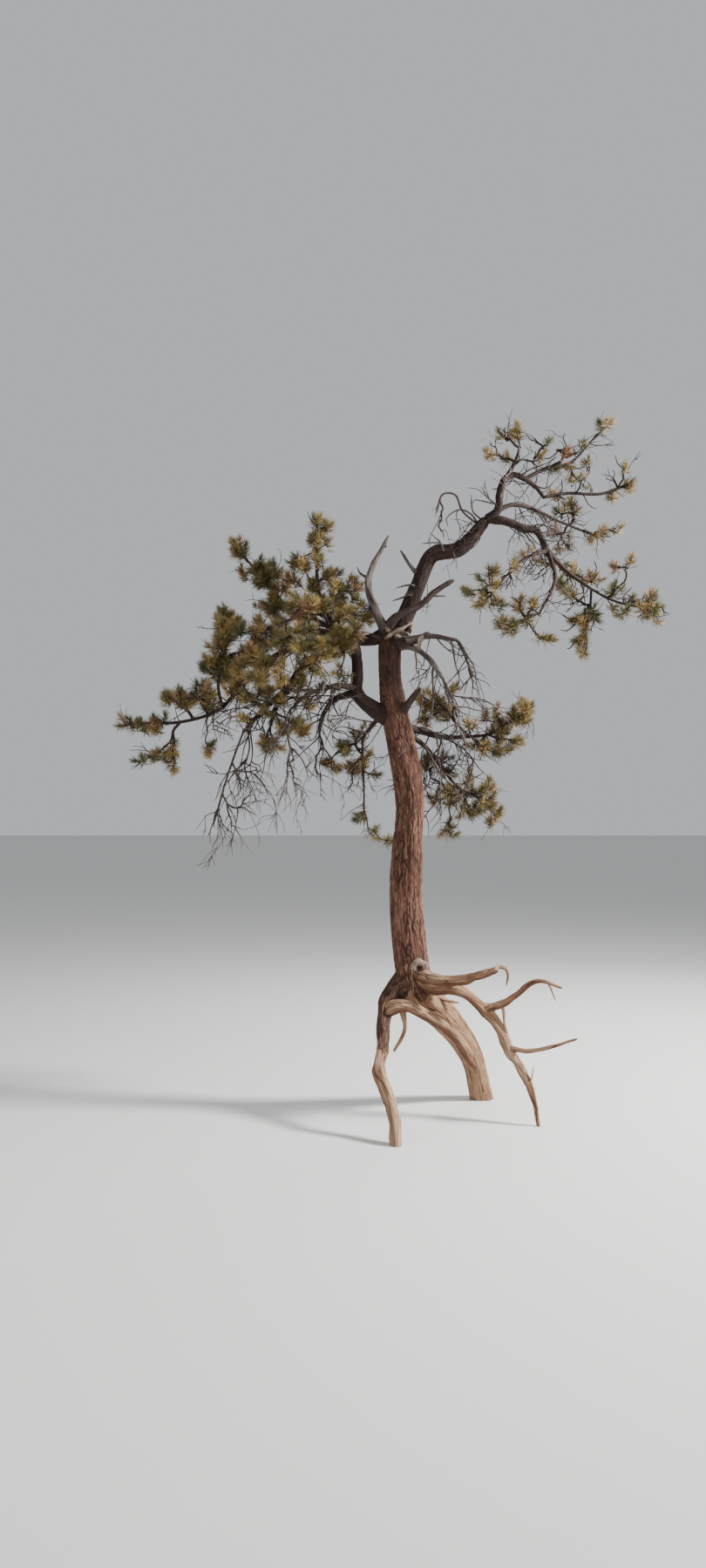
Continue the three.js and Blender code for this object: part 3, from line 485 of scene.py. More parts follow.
# Small dead pieces and splinters on the limbs
DETAILS = [
    Limb("snag_side", "dead", [14, 6],
         [[-938, -510, 4240], [-972, -510, 4254], [-1014, -510, 4282], [-1035, -510, 4324]]),
    Limb("snag_tip", "dead", [9, 5], [[-805, -500, 4496], [-818, -500, 4538]]),
    Limb("crossing_stub", "dead", [13, 6], [[-437, -525, 4103], [-389, -525, 4096], [-333, -525, 4096]]),
    Limb("leader_stub_mid", "dead", [12, 5], [[-584, -420, 4204], [-641, -420, 4204], [-718, -420, 4183]]),
    Limb("leader_stub_low", "dead", [13, 5], [[-613, -430, 4124], [-669, -430, 4102], [-754, -430, 4074]]),
    Limb("high_droop", "dead", [9, 4],
         [[-300, -610, 3725], [-287, -610, 3683], [-260, -610, 3524], [-233, -610, 3428],
          [-247, -610, 3345]]),
    Limb("high_droop_b", "dead", [9, 4],
         [[-241, -640, 3713], [-187, -640, 3623], [-119, -640, 3506], [-99, -640, 3375],
          [-65, -640, 3231]]),
    Limb("high_droop_c", "dead", [7, 3], [[-207, -640, 3651], [-187, -640, 3568], [-160, -640, 3506]]),
    loose("fork_pale_a", [12, 19, 13, 20, 14, 9],
          [[-816, -506, 3755], [-744, -506, 3808], [-674, -504, 3837], [-631, -496, 3863]]),
    loose("fork_pale_b", [26, 20, 24, 14], [[-787, -490, 3808], [-793, -495, 3853], [-784, -495, 3888]]),
    loose("fork_pale_c", [16, 22, 14, 18], [[-737, -492, 3789], [-704, -496, 3774], [-660, -492, 3758]]),
    loose("fork_pale_d", [18, 12, 15, 9], [[-690, -488, 3812], [-652, -492, 3800], [-617, -486, 3777]]),
    loose("fork_pale_e", [18, 29, 21, 26, 14],
          [[-605, -425, 3902], [-604, -430, 3868], [-612, -430, 3822]]),
    loose("fork_pale_f", [19, 12, 17, 9], [[-665, -470, 3841], [-632, -480, 3880], [-600, -465, 3878]]),
    Limb("fork_dark", "bough", [34, 36, 33, 26],
         [[-766, -490, 3740], [-671, -500, 3734], [-568, -525, 3742], [-500, -552, 3764]], rooted=False),
    loose("knob_arm", [26, 21, 23, 15, 16, 9],
          [[-482, -575, 3782], [-517, -568, 3755], [-541, -555, 3725], [-543, -520, 3655]], lumps=0.4),
    Limb("thin_spur", "dead", [10, 7, 4],
         [[-570, -505, 3647], [-564, -505, 3568], [-563, -505, 3498], [-549, -505, 3476]], tone="pale"),
    Limb("collar_knot", "root", [60, 62, 56], [[-546, -510, 1150], [-548, -628, 1148]], tone="pale",
         end="hollow", stain=0.22),
    Limb("leader_scar", "bough", [34, 32, 30], [[-612, -380, 4126], [-614, -455, 4128]], end="hollow"),
    Limb("low_side", "dead", [9, 4],
         [[-280, -520, 3224], [-162, -520, 3203], [-52, -520, 3176], [66, -520, 3203], [170, -520, 3190]]),
    Limb("low_hang", "dead", [10, 4],
         [[-432, -520, 3510], [-432, -520, 3343], [-439, -520, 3190], [-461, -520, 3064]]),
    Limb("pale_left_stub", "dead", [12, 6],
         [[-1098, -480, 3642], [-1070, -480, 3586], [-1077, -480, 3495]]),
    Limb("arch_pale", "dead", [9, 4],
         [[57, -500, 4849], [-34, -500, 4870], [-90, -500, 4877], [-118, -500, 4842]]),
    Limb("leader_pale", "dead", [11, 7], [[-349, -480, 4487], [-363, -480, 4529], [-384, -480, 4551]]),
    Limb("leader_pale_a", "dead", [8, 4], [[-364, -500, 4524], [-434, -500, 4531], [-518, -500, 4524]]),
    Limb("leader_pale_b", "dead", [8, 4], [[-371, -500, 4538], [-413, -500, 4573], [-448, -500, 4609]]),
    Limb("leader_top_stub", "dead", [9, 4], [[-99, -450, 4793], [-113, -450, 4864], [-113, -450, 4935]]),
    Limb("leader_loop_in", "dead", [9, 4],
         [[-113, -450, 4772], [-197, -450, 4814], [-261, -450, 4793], [-317, -450, 4736],
          [-303, -450, 4679]]),
    Limb("root_splinter", "root", [17, 8],
         [[32, -800, 1186], [92, -800, 1173], [112, -800, 1120], [98, -800, 1048]]),
    Limb("root_strand", "root", [14, 8],
         [[59, -640, 884], [92, -640, 844], [105, -640, 730], [132, -640, 629], [172, -640, 522]]),
    Limb("root_stub", "root", [20, 9], [[-390, -420, 890], [-314, -420, 869], [-231, -420, 855]]),
    Limb("root_tip_fork", "root", [11, 5], [[417, -760, 1069], [450, -760, 1002], [476, -760, 929]]),
    Limb("right_tip_spur", "root", [9, 4], [[279, -760, 303], [299, -760, 375], [306, -760, 421]]),
    Limb("riser_twig", "dead", [8, 4],
         [[-1021, -470, 3293], [-1091, -470, 3251], [-1119, -470, 3188], [-1133, -470, 3118]]),
    Limb("trunk_twig", "dead", [9, 4], [[-705, -560, 2819], [-650, -560, 2874]]),
    Limb("stub_pale", "dead", [8, 4], [[-519, -470, 3293], [-533, -470, 3188], [-555, -470, 3083]]),
]

# Masses: a lobe is its centre, its half sizes and the number of its tufts or tips
MASSES = [
    Mass("left", "left_high", "left_top", [[-1260, -310, 3940], [-1350, -310, 4170], [-1370, -340, 4610]],
         [[-1360, -340, 4640, 100, 110, 180, 3], [-1410, -310, 4370, 200, 200, 160, 4],
          [-1200, -340, 4160, 200, 210, 170, 4], [-1010, -340, 4010, 110, 150, 140, 3]]),
    Mass("left", "left_peak", "left_top",
         [[-1380, -230, 3960], [-1580, -190, 4040], [-1770, -200, 4250], [-2030, -250, 4560]],
         [[-2020, -250, 4550, 40, 50, 90, 1], [-1880, -220, 4360, 130, 120, 90, 2],
          [-1610, -160, 4340, 170, 190, 120, 3], [-1670, -140, 4080, 190, 200, 100, 2]],
         tufts=[[-1620, -250, 4280, 130, 110, 120, 4], [-1450, -200, 4200, 150, 120, 140, 3],
                [-1790, -230, 4340, 120, 110, 110, 5], [-1740, -230, 4140, 130, 110, 110, 4]]),
    Mass("left", "left_back", "left_top", [[-1290, -140, 3860], [-1560, 120, 3890], [-1870, 280, 3830]],
         [[-1380, 160, 4090, 280, 190, 160, 4], [-1780, 280, 3960, 280, 190, 180, 4],
          [-2120, 260, 3640, 240, 180, 160, 3]]),
    Mass("left", "left_brow", "left_outer", [[-2170, -300, 3420], [-2110, -310, 3700], [-2130, -310, 3900]],
         [[-2090, -310, 3980, 140, 150, 100, 3], [-1830, -340, 3860, 200, 190, 110, 3],
          [-2200, -290, 3730, 110, 150, 100, 2], [-1870, -320, 3650, 180, 190, 100, 3],
          [-2210, -330, 3600, 90, 90, 60, 1]],
         tufts=[[-2190, -330, 3640, 120, 110, 110, 4], [-2130, -330, 3800, 110, 110, 90, 3],
                [-2050, -340, 3560, 150, 110, 80, 4]]),
    Mass("left", "left_far", "left_outer",
         [[-2270, -280, 3160], [-2500, -330, 3100], [-2750, -390, 3090], [-2950, -430, 3060]],
         [[-2270, -180, 3310, 110, 110, 90, 2], [-2500, -380, 3320, 90, 90, 80, 2],
          [-2750, -400, 3080, 180, 80, 60, 3], [-2600, -280, 2830, 160, 140, 110, 3],
          [-2254, -300, 2850, 40, 50, 40, 1]],
         tufts=[[-2280, -330, 3350, 130, 110, 110, 5], [-2200, -330, 3480, 110, 100, 90, 3],
                [-2480, -360, 3300, 110, 100, 80, 3], [-2816, -330, 2778, 40, 50, 40, 1]], fullness=0.7),
    Mass("left", "left_centre", "left_riser",
         [[-1210, -580, 3780], [-1430, -740, 3780], [-1650, -860, 3660]],
         [[-1430, -720, 3990, 200, 150, 100, 3], [-1160, -700, 3840, 160, 130, 110, 2],
          [-1480, -870, 3670, 210, 160, 110, 3], [-1750, -920, 3450, 200, 150, 120, 3],
          [-1132, -640, 3678, 70, 60, 60, 1], [-1214, -640, 3420, 60, 60, 50, 1]],
         tufts=[[-1359, -600, 3457, 60, 60, 50, 2], [-1140, -640, 3690, 130, 110, 120, 4],
                [-1400, -760, 3560, 200, 120, 130, 4], [-1560, -640, 3830, 200, 120, 120, 4],
                [-1210, -660, 3430, 110, 100, 90, 2], [-1830, -800, 3560, 180, 110, 110, 4]]),
    Mass("left", "left_low", "left_middle", [[-1670, -560, 3230], [-1710, -580, 3090]],
         [[-1450, -630, 3400, 210, 160, 100, 3], [-1770, -680, 3270, 180, 150, 110, 3],
          [-1670, -610, 2930, 180, 150, 120, 2], [-1903, -640, 3110, 40, 60, 40, 1],
          [-1445, -640, 3010, 50, 60, 40, 1]],
         tufts=[[-1560, -660, 3290, 240, 110, 100, 5], [-1850, -620, 3420, 160, 120, 90, 4],
                [-1990, -640, 3350, 120, 90, 90, 3]]),
    Mass("middle", "mid_left_mass", "mid_left",
         [[-990, -160, 2810], [-980, -180, 2570], [-980, -210, 2320]],
         [[-1080, -20, 2980, 140, 170, 100, 3], [-1050, 20, 2780, 160, 190, 100, 3],
          [-880, -160, 2750, 90, 140, 100, 1], [-890, -220, 2230, 130, 90, 70, 1],
          [-1270, -180, 2790, 40, 50, 40, 1], [-930, -130, 3090, 30, 40, 30, 1]],
         tufts=[[-1180, -150, 2860, 130, 120, 120, 3], [-763, -220, 2141, 30, 40, 30, 1]],
         tips=[[-1000, -160, 2700, 220, 130, 260, 6]], fullness=0.4),
    Mass("middle", "mid_right_far", "mid_right", [[60, -210, 3020], [210, -230, 3110], [370, -250, 3200]],
         [[340, -240, 3190, 110, 130, 100, 3], [150, -20, 3160, 160, 200, 90, 3],
          [50, -270, 2890, 240, 190, 70, 3], [266, -240, 2960, 50, 60, 40, 1]],
         tufts=[[140, -200, 3010, 200, 130, 90, 3], [-127, -250, 3090, 40, 50, 40, 1]],
         tips=[[60, -230, 2950, 280, 130, 160, 6]]),
    Mass("middle", "mid_right_near", "mid_right", [[-240, -120, 3150], [-310, -20, 3300]],
         [[-330, -40, 3260, 150, 210, 120, 4], [-490, -120, 3150, 40, 50, 40, 1],
          [-510, -120, 3330, 40, 50, 40, 1]], tufts=[[-272, -120, 3393, 40, 50, 40, 1]], fullness=0.5),
    Mass("middle", "mid_right_hanging", "mid_right_low",
         [[-210, -170, 2590], [-70, -180, 2510], [80, -200, 2450]],
         [[10, 0, 2610, 170, 180, 90, 3], [30, -170, 2390, 190, 180, 90, 3],
          [-320, -70, 2520, 140, 180, 100, 3], [-300, -160, 2210, 90, 80, 60, 1],
          [-470, -110, 2800, 40, 50, 50, 1]], tufts=[[-380, -110, 2790, 150, 110, 140, 3]],
         tips=[[-150, -150, 2650, 300, 130, 260, 8]]),
    Mass("right", "crown_left", "arch_rise", [[230, -470, 5180], [270, -490, 5310], [240, -510, 5440]],
         [[230, -510, 5440, 120, 90, 80, 1], [30, -540, 5300, 70, 80, 80, 1],
          [460, -440, 5350, 100, 110, 100, 1], [154, -420, 5252, 40, 40, 40, 1]],
         tufts=[[130, -500, 5440, 30, 40, 30, 1], [515, -460, 5353, 30, 40, 30, 1]],
         tips=[[250, -480, 5370, 230, 120, 150, 9]], fullness=0.2),
    Mass("right", "crown_middle", "arch_top",
         [[520, -340, 5190], [720, -300, 5250], [920, -290, 5460], [1070, -290, 5600]],
         [[980, -290, 5540, 130, 90, 100, 1], [670, -400, 5260, 160, 150, 110, 3],
          [820, -70, 5200, 110, 200, 80, 2]],
         tufts=[[801, -340, 5396, 30, 40, 30, 1], [850, -300, 5061, 30, 40, 30, 1]],
         tips=[[720, -320, 5330, 300, 150, 170, 9]], fullness=0.4),
    Mass("right", "crown_right", "arch_end", [[690, -280, 5000], [990, -240, 5010], [1240, -220, 5110]],
         [[1200, -200, 5100, 130, 140, 100, 2], [970, -300, 5240, 130, 150, 130, 1],
          [770, 30, 5130, 140, 160, 90, 2]], tufts=[[1170, -260, 5212, 30, 40, 30, 1]],
         tips=[[1000, -250, 5150, 360, 150, 150, 8]], fullness=0.5),
    Mass("right", "right_cluster", "right_stem", [[750, -100, 4780], [980, -70, 4700]],
         [[760, -70, 4930, 140, 180, 90, 3], [1070, 20, 4770, 160, 150, 100, 2],
          [680, 80, 4690, 150, 150, 80, 2]], tips=[[880, -80, 4780, 300, 160, 150, 7]], fullness=0.8),
    Mass("right", "right_tip", "right_outer", [[1040, -280, 4120], [1230, -300, 4060], [1430, -320, 4050]],
         [[1430, -320, 4040, 100, 90, 130, 3], [1190, -300, 4060, 140, 150, 130, 3],
          [1070, -270, 4210, 110, 140, 100, 2], [1150, -240, 4430, 100, 110, 70, 1]],
         tufts=[[1380, -320, 4150, 50, 50, 50, 1]], tips=[[1200, -300, 4100, 240, 140, 150, 4]]),
    Mass("right", "right_low_middle", "right_outer", [[880, -240, 4030], [830, -250, 3840]],
         [[850, -230, 3940, 140, 150, 110, 3], [780, -250, 3720, 110, 100, 70, 2],
          [680, -200, 4220, 130, 150, 100, 2]], tips=[[800, -240, 3950, 240, 150, 220, 6]]),
    Mass("right", "right_low_inner", "right_inner", [[270, -600, 3890], [160, -620, 3810]],
         [[310, -620, 3980, 120, 140, 140, 3], [120, -700, 3830, 110, 130, 80, 2],
          [440, -560, 3750, 110, 130, 80, 1]], tips=[[300, -600, 3930, 240, 150, 220, 6]]),
    Mass("right", "right_low_outer", "right_low_left", [[70, -700, 4140], [-60, -760, 3990]],
         [[-50, -770, 4060, 150, 140, 140, 4], [140, -780, 4250, 80, 120, 80, 1]],
         tufts=[[9, -740, 4242, 40, 50, 40, 1]], tips=[[60, -700, 4150, 200, 150, 200, 4]]),
    Mass("right", "right_back", "right_bough", [[610, -160, 4500], [710, 80, 4470]],
         [[530, 80, 4560, 190, 200, 140, 3], [810, 200, 4400, 180, 190, 130, 3],
          [990, -60, 4340, 50, 60, 40, 1]], tips=[[720, 40, 4430, 300, 200, 200, 7]]),
    Mass("left", "bare_inner", "left_elbow", [[-1310, -260, 2900], [-1230, -250, 2800]],
         [[-1260, -260, 2720, 160, 110, 180, 4]], bare=True),
    Mass("left", "bare_front", "left_elbow_front", [[-1570, -780, 2950], [-1520, -790, 2750]],
         [[-1470, -780, 2640, 160, 110, 230, 5]], bare=True),
    Mass("left", "bare_pale", "left_pale", [[-2010, -630, 2780], [-2080, -650, 2550], [-2150, -670, 2280]],
         [[-2110, -660, 2250, 180, 100, 180, 4], [-1840, -620, 2510, 150, 110, 230, 5]], bare=True),
    Mass("middle", "bare_high", "dead_high", [[-190, -640, 3600], [-130, -650, 3420]],
         [[-190, -640, 3410, 110, 70, 200, 4]], bare=True),
    Mass("middle", "bare_low", "dead_low", [[-290, -510, 3290], [-240, -500, 3110]],
         [[-270, -490, 2940, 210, 110, 240, 5], [20, -480, 3210, 120, 70, 70, 2]], bare=True),
    Mass("right", "bare_loop", "leader_upper",
         [[-190, -490, 4790], [-250, -500, 4920], [-350, -510, 4920], [-400, -510, 4760]],
         [[-360, -510, 4650, 70, 50, 110, 3]], from_share=0.8, bare=True),
]
MASS_NAMES = {mass.name for mass in MASSES}

# Colours, as the eight-bit values of a screen. The colours for stain also darken the undersides with painted
# shade, and the fissure and grain colours darken the grooves with the wood's own dark and painted shade.
WOOD_TONES = {
    "bark": dict(
        plate_dark=(86, 55, 43), plate_light=(118, 82, 66), plate_scale=(154, 118, 98), fissure=(44, 25, 19),
        bark_stain_and_shade=(66, 46, 38), wood_light=(198, 164, 132), wood_dark=(160, 122, 94), grain=(92, 60, 42),
        stain=(120, 70, 44),
    ),
    "bough": dict(
        plate_dark=(45, 33, 28), plate_light=(63, 47, 40), plate_scale=(80, 62, 54), fissure=(36, 24, 20),
        bark_stain_and_shade=(49, 36, 31), wood_light=(150, 130, 114), wood_dark=(112, 92, 80), grain=(70, 54, 46),
        stain=(84, 56, 44),
    ),
    "root": dict(
        plate_dark=(72, 48, 38), plate_light=(106, 76, 60), plate_scale=(132, 102, 82), fissure=(40, 25, 20),
        bark_stain_and_shade=(64, 43, 34), wood_light=(214, 180, 147), wood_dark=(164, 126, 97), grain=(84, 53, 37),
        stain=(98, 59, 41),
    ),
    "dead": dict(wood_light=(138, 128, 121), wood_dark=(86, 76, 70), grain=(52, 42, 38), stain=(76, 56, 46)),
    "dark": dict(wood_light=(96, 80, 71), wood_dark=(66, 51, 44), grain=(38, 27, 23), stain=(58, 42, 36)),
    "pale": dict(
        wood_light=(196, 178, 160), wood_dark=(132, 110, 95), grain=(74, 54, 44), stain=(104, 78, 62),
    ),
}

# Twigs: dark shade, light shade and the scale of their patches
TWIG_SHADES = {
    "live": ((34, 26, 23), (61, 48, 41), 40),
    "dead": ((42, 33, 30), (80, 67, 60), 30),
    "pale": ((84, 75, 70), (136, 125, 117), 30),
}
NEEDLE_SHADES = {
    "green": ((60, 63, 33), (106, 104, 60)),
    "olive": ((86, 78, 40), (138, 122, 70)),
    "gold": ((120, 99, 53), (180, 154, 94)),
    "tan": ((130, 104, 70), (180, 152, 114)),
    "rust": ((106, 72, 46), (148, 106, 70)),
}

# Patterns: noise scale, detail, stretch along the limb, and the values that become 0 and 1.
# The scale of the twigs' patches is given with their shades, and their relief has no such values.
RIDGES = (58, 9, 0.075, 0.36, 0.58)
SCALES = (90, 8, 0.22, 0.44, 0.78)
PATCHES = (5.5, 4, 0.4, 0.42, 0.8)
GRAIN = (150, 6, 0.035, 0.4, 0.6)
CLOUDS = (11, 6, 0.3, 0.38, 0.66)
TWIG_PATCHES = (5, 1, 0.36, 0.66)
TWIG_RELIEF = (260, 4, 1)

# Values that become 0 and 1 where one colour passes into another
TINT_SHADE = (0.1, 0.9)
RIDGE_SHADE = (-0.7, 0.9)
STAIN_SHADE = (0.1, 1.3)
FISSURE_SHADE = (0.3, 1.1)
GRAIN_SHADE = (-0.6, 1.6)
SPLIT_SHADE = (0.1, 0.95)

# Roughness and specular level, and strength and distance of the fine bump
WOOD_SHINE = (0.88, 0.25)
TWIG_SHINE = (0.85, 0.25)
NEEDLE_SHINE = (0.5, 0.4)
FLOOR_SHINE = (0.9, 0.1)
WOOD_BUMP = (0.6, 0.007)
TWIG_BUMP = (0.4, 0.002)

UP = np.array([0.0, 0.0, 1.0])


# Curves and random numbers
def unit(direction):
    return direction / np.linalg.norm(direction)


def whole_number(value):
    return value & 0xFFFFFFFF


def random_from(seed):
    """Even random numbers from 0 to 1, the same ones as in the part's source."""
    state = whole_number(seed)

    def draw():
        nonlocal state
        state = whole_number(state + 0x6D2B79F5)
        mixed = whole_number((state ^ (state >> 15)) * (state | 1))
        mixed ^= whole_number(mixed + whole_number((mixed ^ (mixed >> 7)) * (mixed | 61)))
        return (mixed ^ (mixed >> 14)) / 4294967296

    return draw


class SmoothRoute:
    """A centripetal Catmull-Rom curve through a route, measured along its length."""

    DIVISIONS = 200
    DELTA = 0.0001

    def __init__(self, route):
        places = np.array(route, float)
        before = 2 * places[0] - places[1]
        after = 2 * places[-1] - places[-2]
        self.places = np.vstack([before, places, after])
        self.spans = len(places) - 1
        self.shares = np.linspace(0, 1, self.DIVISIONS + 1)
        steps = np.linalg.norm(np.diff(self.curve(self.shares), axis=0), axis=1)
        self.lengths = np.concatenate([[0], np.cumsum(steps)])
        self.length = self.lengths[-1]

    def curve(self, shares):
        place = np.clip(np.asarray(shares, float), 0, 1) * self.spans
        span = np.minimum(place.astype(int), self.spans - 1)
        w = (place - span)[..., None]
        x0, x1, x2, x3 = (self.places[span + shift] for shift in range(4))
        pairs = ((x0, x1), (x1, x2), (x2, x3))
        d0, d1, d2 = (np.sqrt(np.linalg.norm(b - a, axis=-1))[..., None] for a, b in pairs)
        t1 = ((x1 - x0) / d0 - (x2 - x0) / (d0 + d1) + (x2 - x1) / d1) * d1
        t2 = ((x2 - x1) / d1 - (x3 - x1) / (d1 + d2) + (x3 - x2) / d2) * d1
        return x1 + t1 * w + (3 * (x2 - x1) - 2 * t1 - t2) * w**2 + (2 * (x1 - x2) + t1 + t2) * w**3

    def share_at(self, shares):
        return np.interp(np.asarray(shares, float) * self.length, self.lengths, self.shares)

    def points(self, shares):
        """Places at even lengths along the curve."""
        return self.curve(self.share_at(shares))

    def heading(self, share):
        middle = self.share_at(share)
        return unit(self.curve(min(middle + self.DELTA, 1)) - self.curve(max(middle - self.DELTA, 0)))


class Bend:
    """A cubic Bezier curve."""

    def __init__(self, *places):
        self.places = places

    def points(self, shares):
        t = np.asarray(shares, float)[..., None]
        a, b, c, d = self.places
        return (1 - t) ** 3 * a + 3 * (1 - t) ** 2 * t * b + 3 * (1 - t) * t**2 * c + t**3 * d

    def heading(self, share):
        t = share
        a, b, c, d = self.places
        return unit((1 - t) ** 2 * (b - a) + 2 * (1 - t) * t * (c - b) + t**2 * (d - c))


class KeepOut:
    """Capsules of everything that already stands, by node."""

    def __init__(self, room=24000):
        self.start = np.zeros((room, 3))
        self.span = np.zeros((room, 3))
        self.size = np.ones(room)
        self.radius = np.zeros(room)
        self.owner = np.zeros(room, int)
        self.names = {}
        self.count = 0

    def number(self, owner):
        return self.names.setdefault(owner, len(self.names))

    def stand(self, owner, start, end, radius):
        row = self.count
        self.start[row] = start
        self.span[row] = end - start
        self.size[row] = max(float(self.span[row] @ self.span[row]), 1)
        self.radius[row] = radius
        self.owner[row] = self.number(owner)
        self.count += 1

    def gaps(self, points, owner):
        """The gap from each point to the nearest capsule of any other owner."""
        rows = np.flatnonzero(self.owner[: self.count] != self.number(owner))
        away = points[:, None, :] - self.start[rows]
        share = np.clip(np.einsum("prc,rc->pr", away, self.span[rows]) / self.size[rows], 0, 1)
        away -= share[..., None] * self.span[rows]
        return (np.sqrt(np.einsum("prc,prc->pr", away, away)) - self.radius[rows]).min(axis=1)

    def gap(self, point, owner):
        return float(self.gaps(point[None, :], owner)[0])


standing = KeepOut()


# Limbs as the part has them, for the twigs to start from and keep clear of
def radius_at(limb, share):
    return np.interp(share * (len(limb.radii) - 1), np.arange(len(limb.radii)), limb.radii)


def sample_limb(limb):
    shares = np.arange(limb.steps + 1) / limb.steps
    return SmoothRoute(limb.route).points(shares), radius_at(limb, shares)


def stand_limbs():
    sampled = {limb.name: sample_limb(limb) for limb in LIMBS}
    for name, (points, widths) in sampled.items():
        for start, end, radius in zip(points, points[1:], widths):
            standing.stand(name, start, end, radius)
    return sampled


# Sites for tufts or bare tips, spread evenly through the lobes of a mass
def site_in_lobe(lobe, random):
    x, y, z, wide, deep, high = lobe[:6]
    turn = 2 * math.pi * random()
    level = 2 * random() - 1
    out = random() ** (1 / 3)
    flat = math.sqrt(1 - level * level)
    return np.array([
        x + wide * out * flat * math.cos(turn),
        y + deep * out * flat * math.sin(turn),
        z + high * out * level,
    ])


def nearest(places, site):
    if len(places) == 0:
        return math.inf
    return float(np.linalg.norm(np.asarray(places) - site, axis=1).min())


def choose_sites(lobes, random, share=1, taken=()):
    """The best spread of sites, away from each other and from those already taken."""
    sites = []
    for lobe in lobes:
        for _ in range(round(lobe[-1] * share)):
            tries = [site_in_lobe(lobe, random) for _ in range(SITE_TRIES)]
            rooms = [nearest([*taken, *sites], site) for site in tries]
            sites.append(tries[rooms.index(max(rooms))])
    return sites


class Growth:
    """The branching nodes of one mass, and the twigs and tufts on them."""

    def __init__(self, mass, start, limit):
        self.mass = mass
        self.limit = limit
        self.space = mass.lobes
        self.stem = SmoothRoute([start, *mass.stem])
        steps = max(STEM_LEAST_STEPS, math.floor(self.stem.length / STEM_STEP + 0.5))
        shares = np.arange(steps + 1) / steps
        self.points = list(self.stem.points(shares))
        self.headings = [self.stem.heading(share) for share in shares]
        self.parents = list(range(-1, steps))
        self.tips = [False] * steps + [True]
        self.stem_points = np.array(self.points)
        self.twigs = []
        end = self.stem_points[-1]
        self.tufts = [(end, self.headings[-1], max(TUFT_LEAST, self.tuft_size(end)))]

    def tuft_size(self, site):
        if self.mass.bare:
            return 1
        return min(1, (standing.gap(site, self.mass.name) - TUFT_SPARE) / TUFT_REACH)

    def inside(self, points):
        """Whether every point lies in a lobe or near the stem."""
        table = np.array(self.space, float)
        away = (points[:, None, :] - table[None, :, 0:3]) / table[None, :, 3:6]
        in_lobe = (np.linalg.norm(away, axis=2) <= LOBE_REACH).any(axis=1)
        from_stem = np.linalg.norm(points[:, None, :] - self.stem_points[None], axis=2).min(axis=1)
        return bool((in_lobe | (from_stem <= STEM_REACH)).all())

    def joints(self, site):
        """Nodes that a new twig can start from, the near ones that already head its way first."""
        direct = site - np.array(self.points)
        distance = np.linalg.norm(direct, axis=1)
        along = np.einsum("nc,nc->n", direct, np.array(self.headings))
        costs = distance * (TURN_COST - along / np.maximum(distance, 1))
        order = [index for index in np.argsort(costs, kind="stable") if index > 0 and not self.tips[index]]
        return order[:JOINT_TRIES]

    def twig_curve(self, joint, site, random):
        direct = site - self.points[joint]
        length = np.linalg.norm(direct)
        direct = direct / length
        leave = unit(direct * LEAVE_STRAIGHT + self.headings[joint] * LEAVE_ALONG)
        arrive = unit(direct + UP * (BARE_TIP_DROOP if self.mass.bare else TIP_LIFT))

        def sway():
            return np.array([(2 * random() - 1) * WOBBLE * length for _ in range(3)])

        first = self.points[joint] + leave * HANDLE * length + sway()
        second = site - arrive * HANDLE * length + sway()
        return Bend(self.points[joint], first, second, site)

    def grow_twig(self, site, random):
        """A twig from the best joint that keeps it clear and in its space."""
        for joint in self.joints(site):
            curve = self.twig_curve(joint, site, random)
            samples = curve.points(np.arange(1, TWIG_SAMPLES + 1) / TWIG_SAMPLES)
            clear = (standing.gaps(samples, self.mass.name) > TWIG_CLEARANCE).all()
            if clear and self.inside(samples):
                return self.add_chain(joint, curve, site)
        return None

    def add_chain(self, joint, curve, site):
        steps = 3 if np.linalg.norm(site - self.points[joint]) > LONG_TWIG else 2
        chain = [joint]
        for step in range(1, steps + 1):
            share = step / steps
            self.parents.append(chain[-1])
            self.points.append(curve.points(share))
            self.headings.append(curve.heading(share))
            self.tips.append(step == steps)
            chain.append(len(self.points) - 1)
        self.twigs.append((chain, curve))
        return chain

    def add_tufts(self, sites, least, random):
        for site in sites:
            size = self.tuft_size(site)
            chain = self.grow_twig(site, random) if size >= least else None
            if chain:
                self.tufts.append((site, self.headings[chain[-1]], size))

    def radii(self):
        """Every twig is as thick as the number of tips beyond it asks for."""
        counts = [1 if tip else 0 for tip in self.tips]
        for index in range(len(counts) - 1, 0, -1):
            counts[self.parents[index]] += counts[index]
        return [min(TWIG_TIP_RADIUS * max(count, 1) ** TWIG_THICKENING, self.limit) for count in counts]

    def stand(self):
        radii = self.radii()
        for index in range(1, len(self.points)):
            start = self.points[self.parents[index]]
            standing.stand(self.mass.name, start, self.points[index], radii[index])
        if not self.mass.bare:
            for site, _, size in self.tufts:
                standing.stand(self.mass.name, site, site, TUFT_REACH * size)


def grow_mass(mass, number, sampled):
    random = random_from(FIRST_SEED + number)
    points, widths = sampled[mass.carrier]
    foot = math.floor(mass.from_share * (len(points) - 1) + 0.5)
    growth = Growth(mass, points[foot], widths[foot] * STEM_SHARE)
    sites = choose_sites(mass.lobes, random)
    sites.sort(key=lambda site: nearest(growth.stem_points, site))
    growth.add_tufts(sites, TUFT_LEAST, random)
    growth.stand()
    return growth


# Tubes
def rings_round(headings, across, sides):
    """Directions outward from each place of a path, turned with the path and without twist."""
    turns = 2 * math.pi * np.arange(sides) / sides
    rings = []
    for heading in headings:
        across = unit(across - heading * (across @ heading))
        along = np.cross(heading, across)
        rings.append(np.cos(turns)[:, None] * across + np.sin(turns)[:, None] * along)
    return np.array(rings)


def ring_faces(rings, sides):
    """The four-sided faces between rings of corners, then the numbers in a ring and their neighbours."""
    low = np.arange(sides)
    high = (low + 1) % sides
    quads = [
        np.stack([ring + low, ring + high, ring + sides + high, ring + sides + low], 1)
        for ring in range(0, (rings - 1) * sides, sides)
    ]
    return np.concatenate(quads), low, high


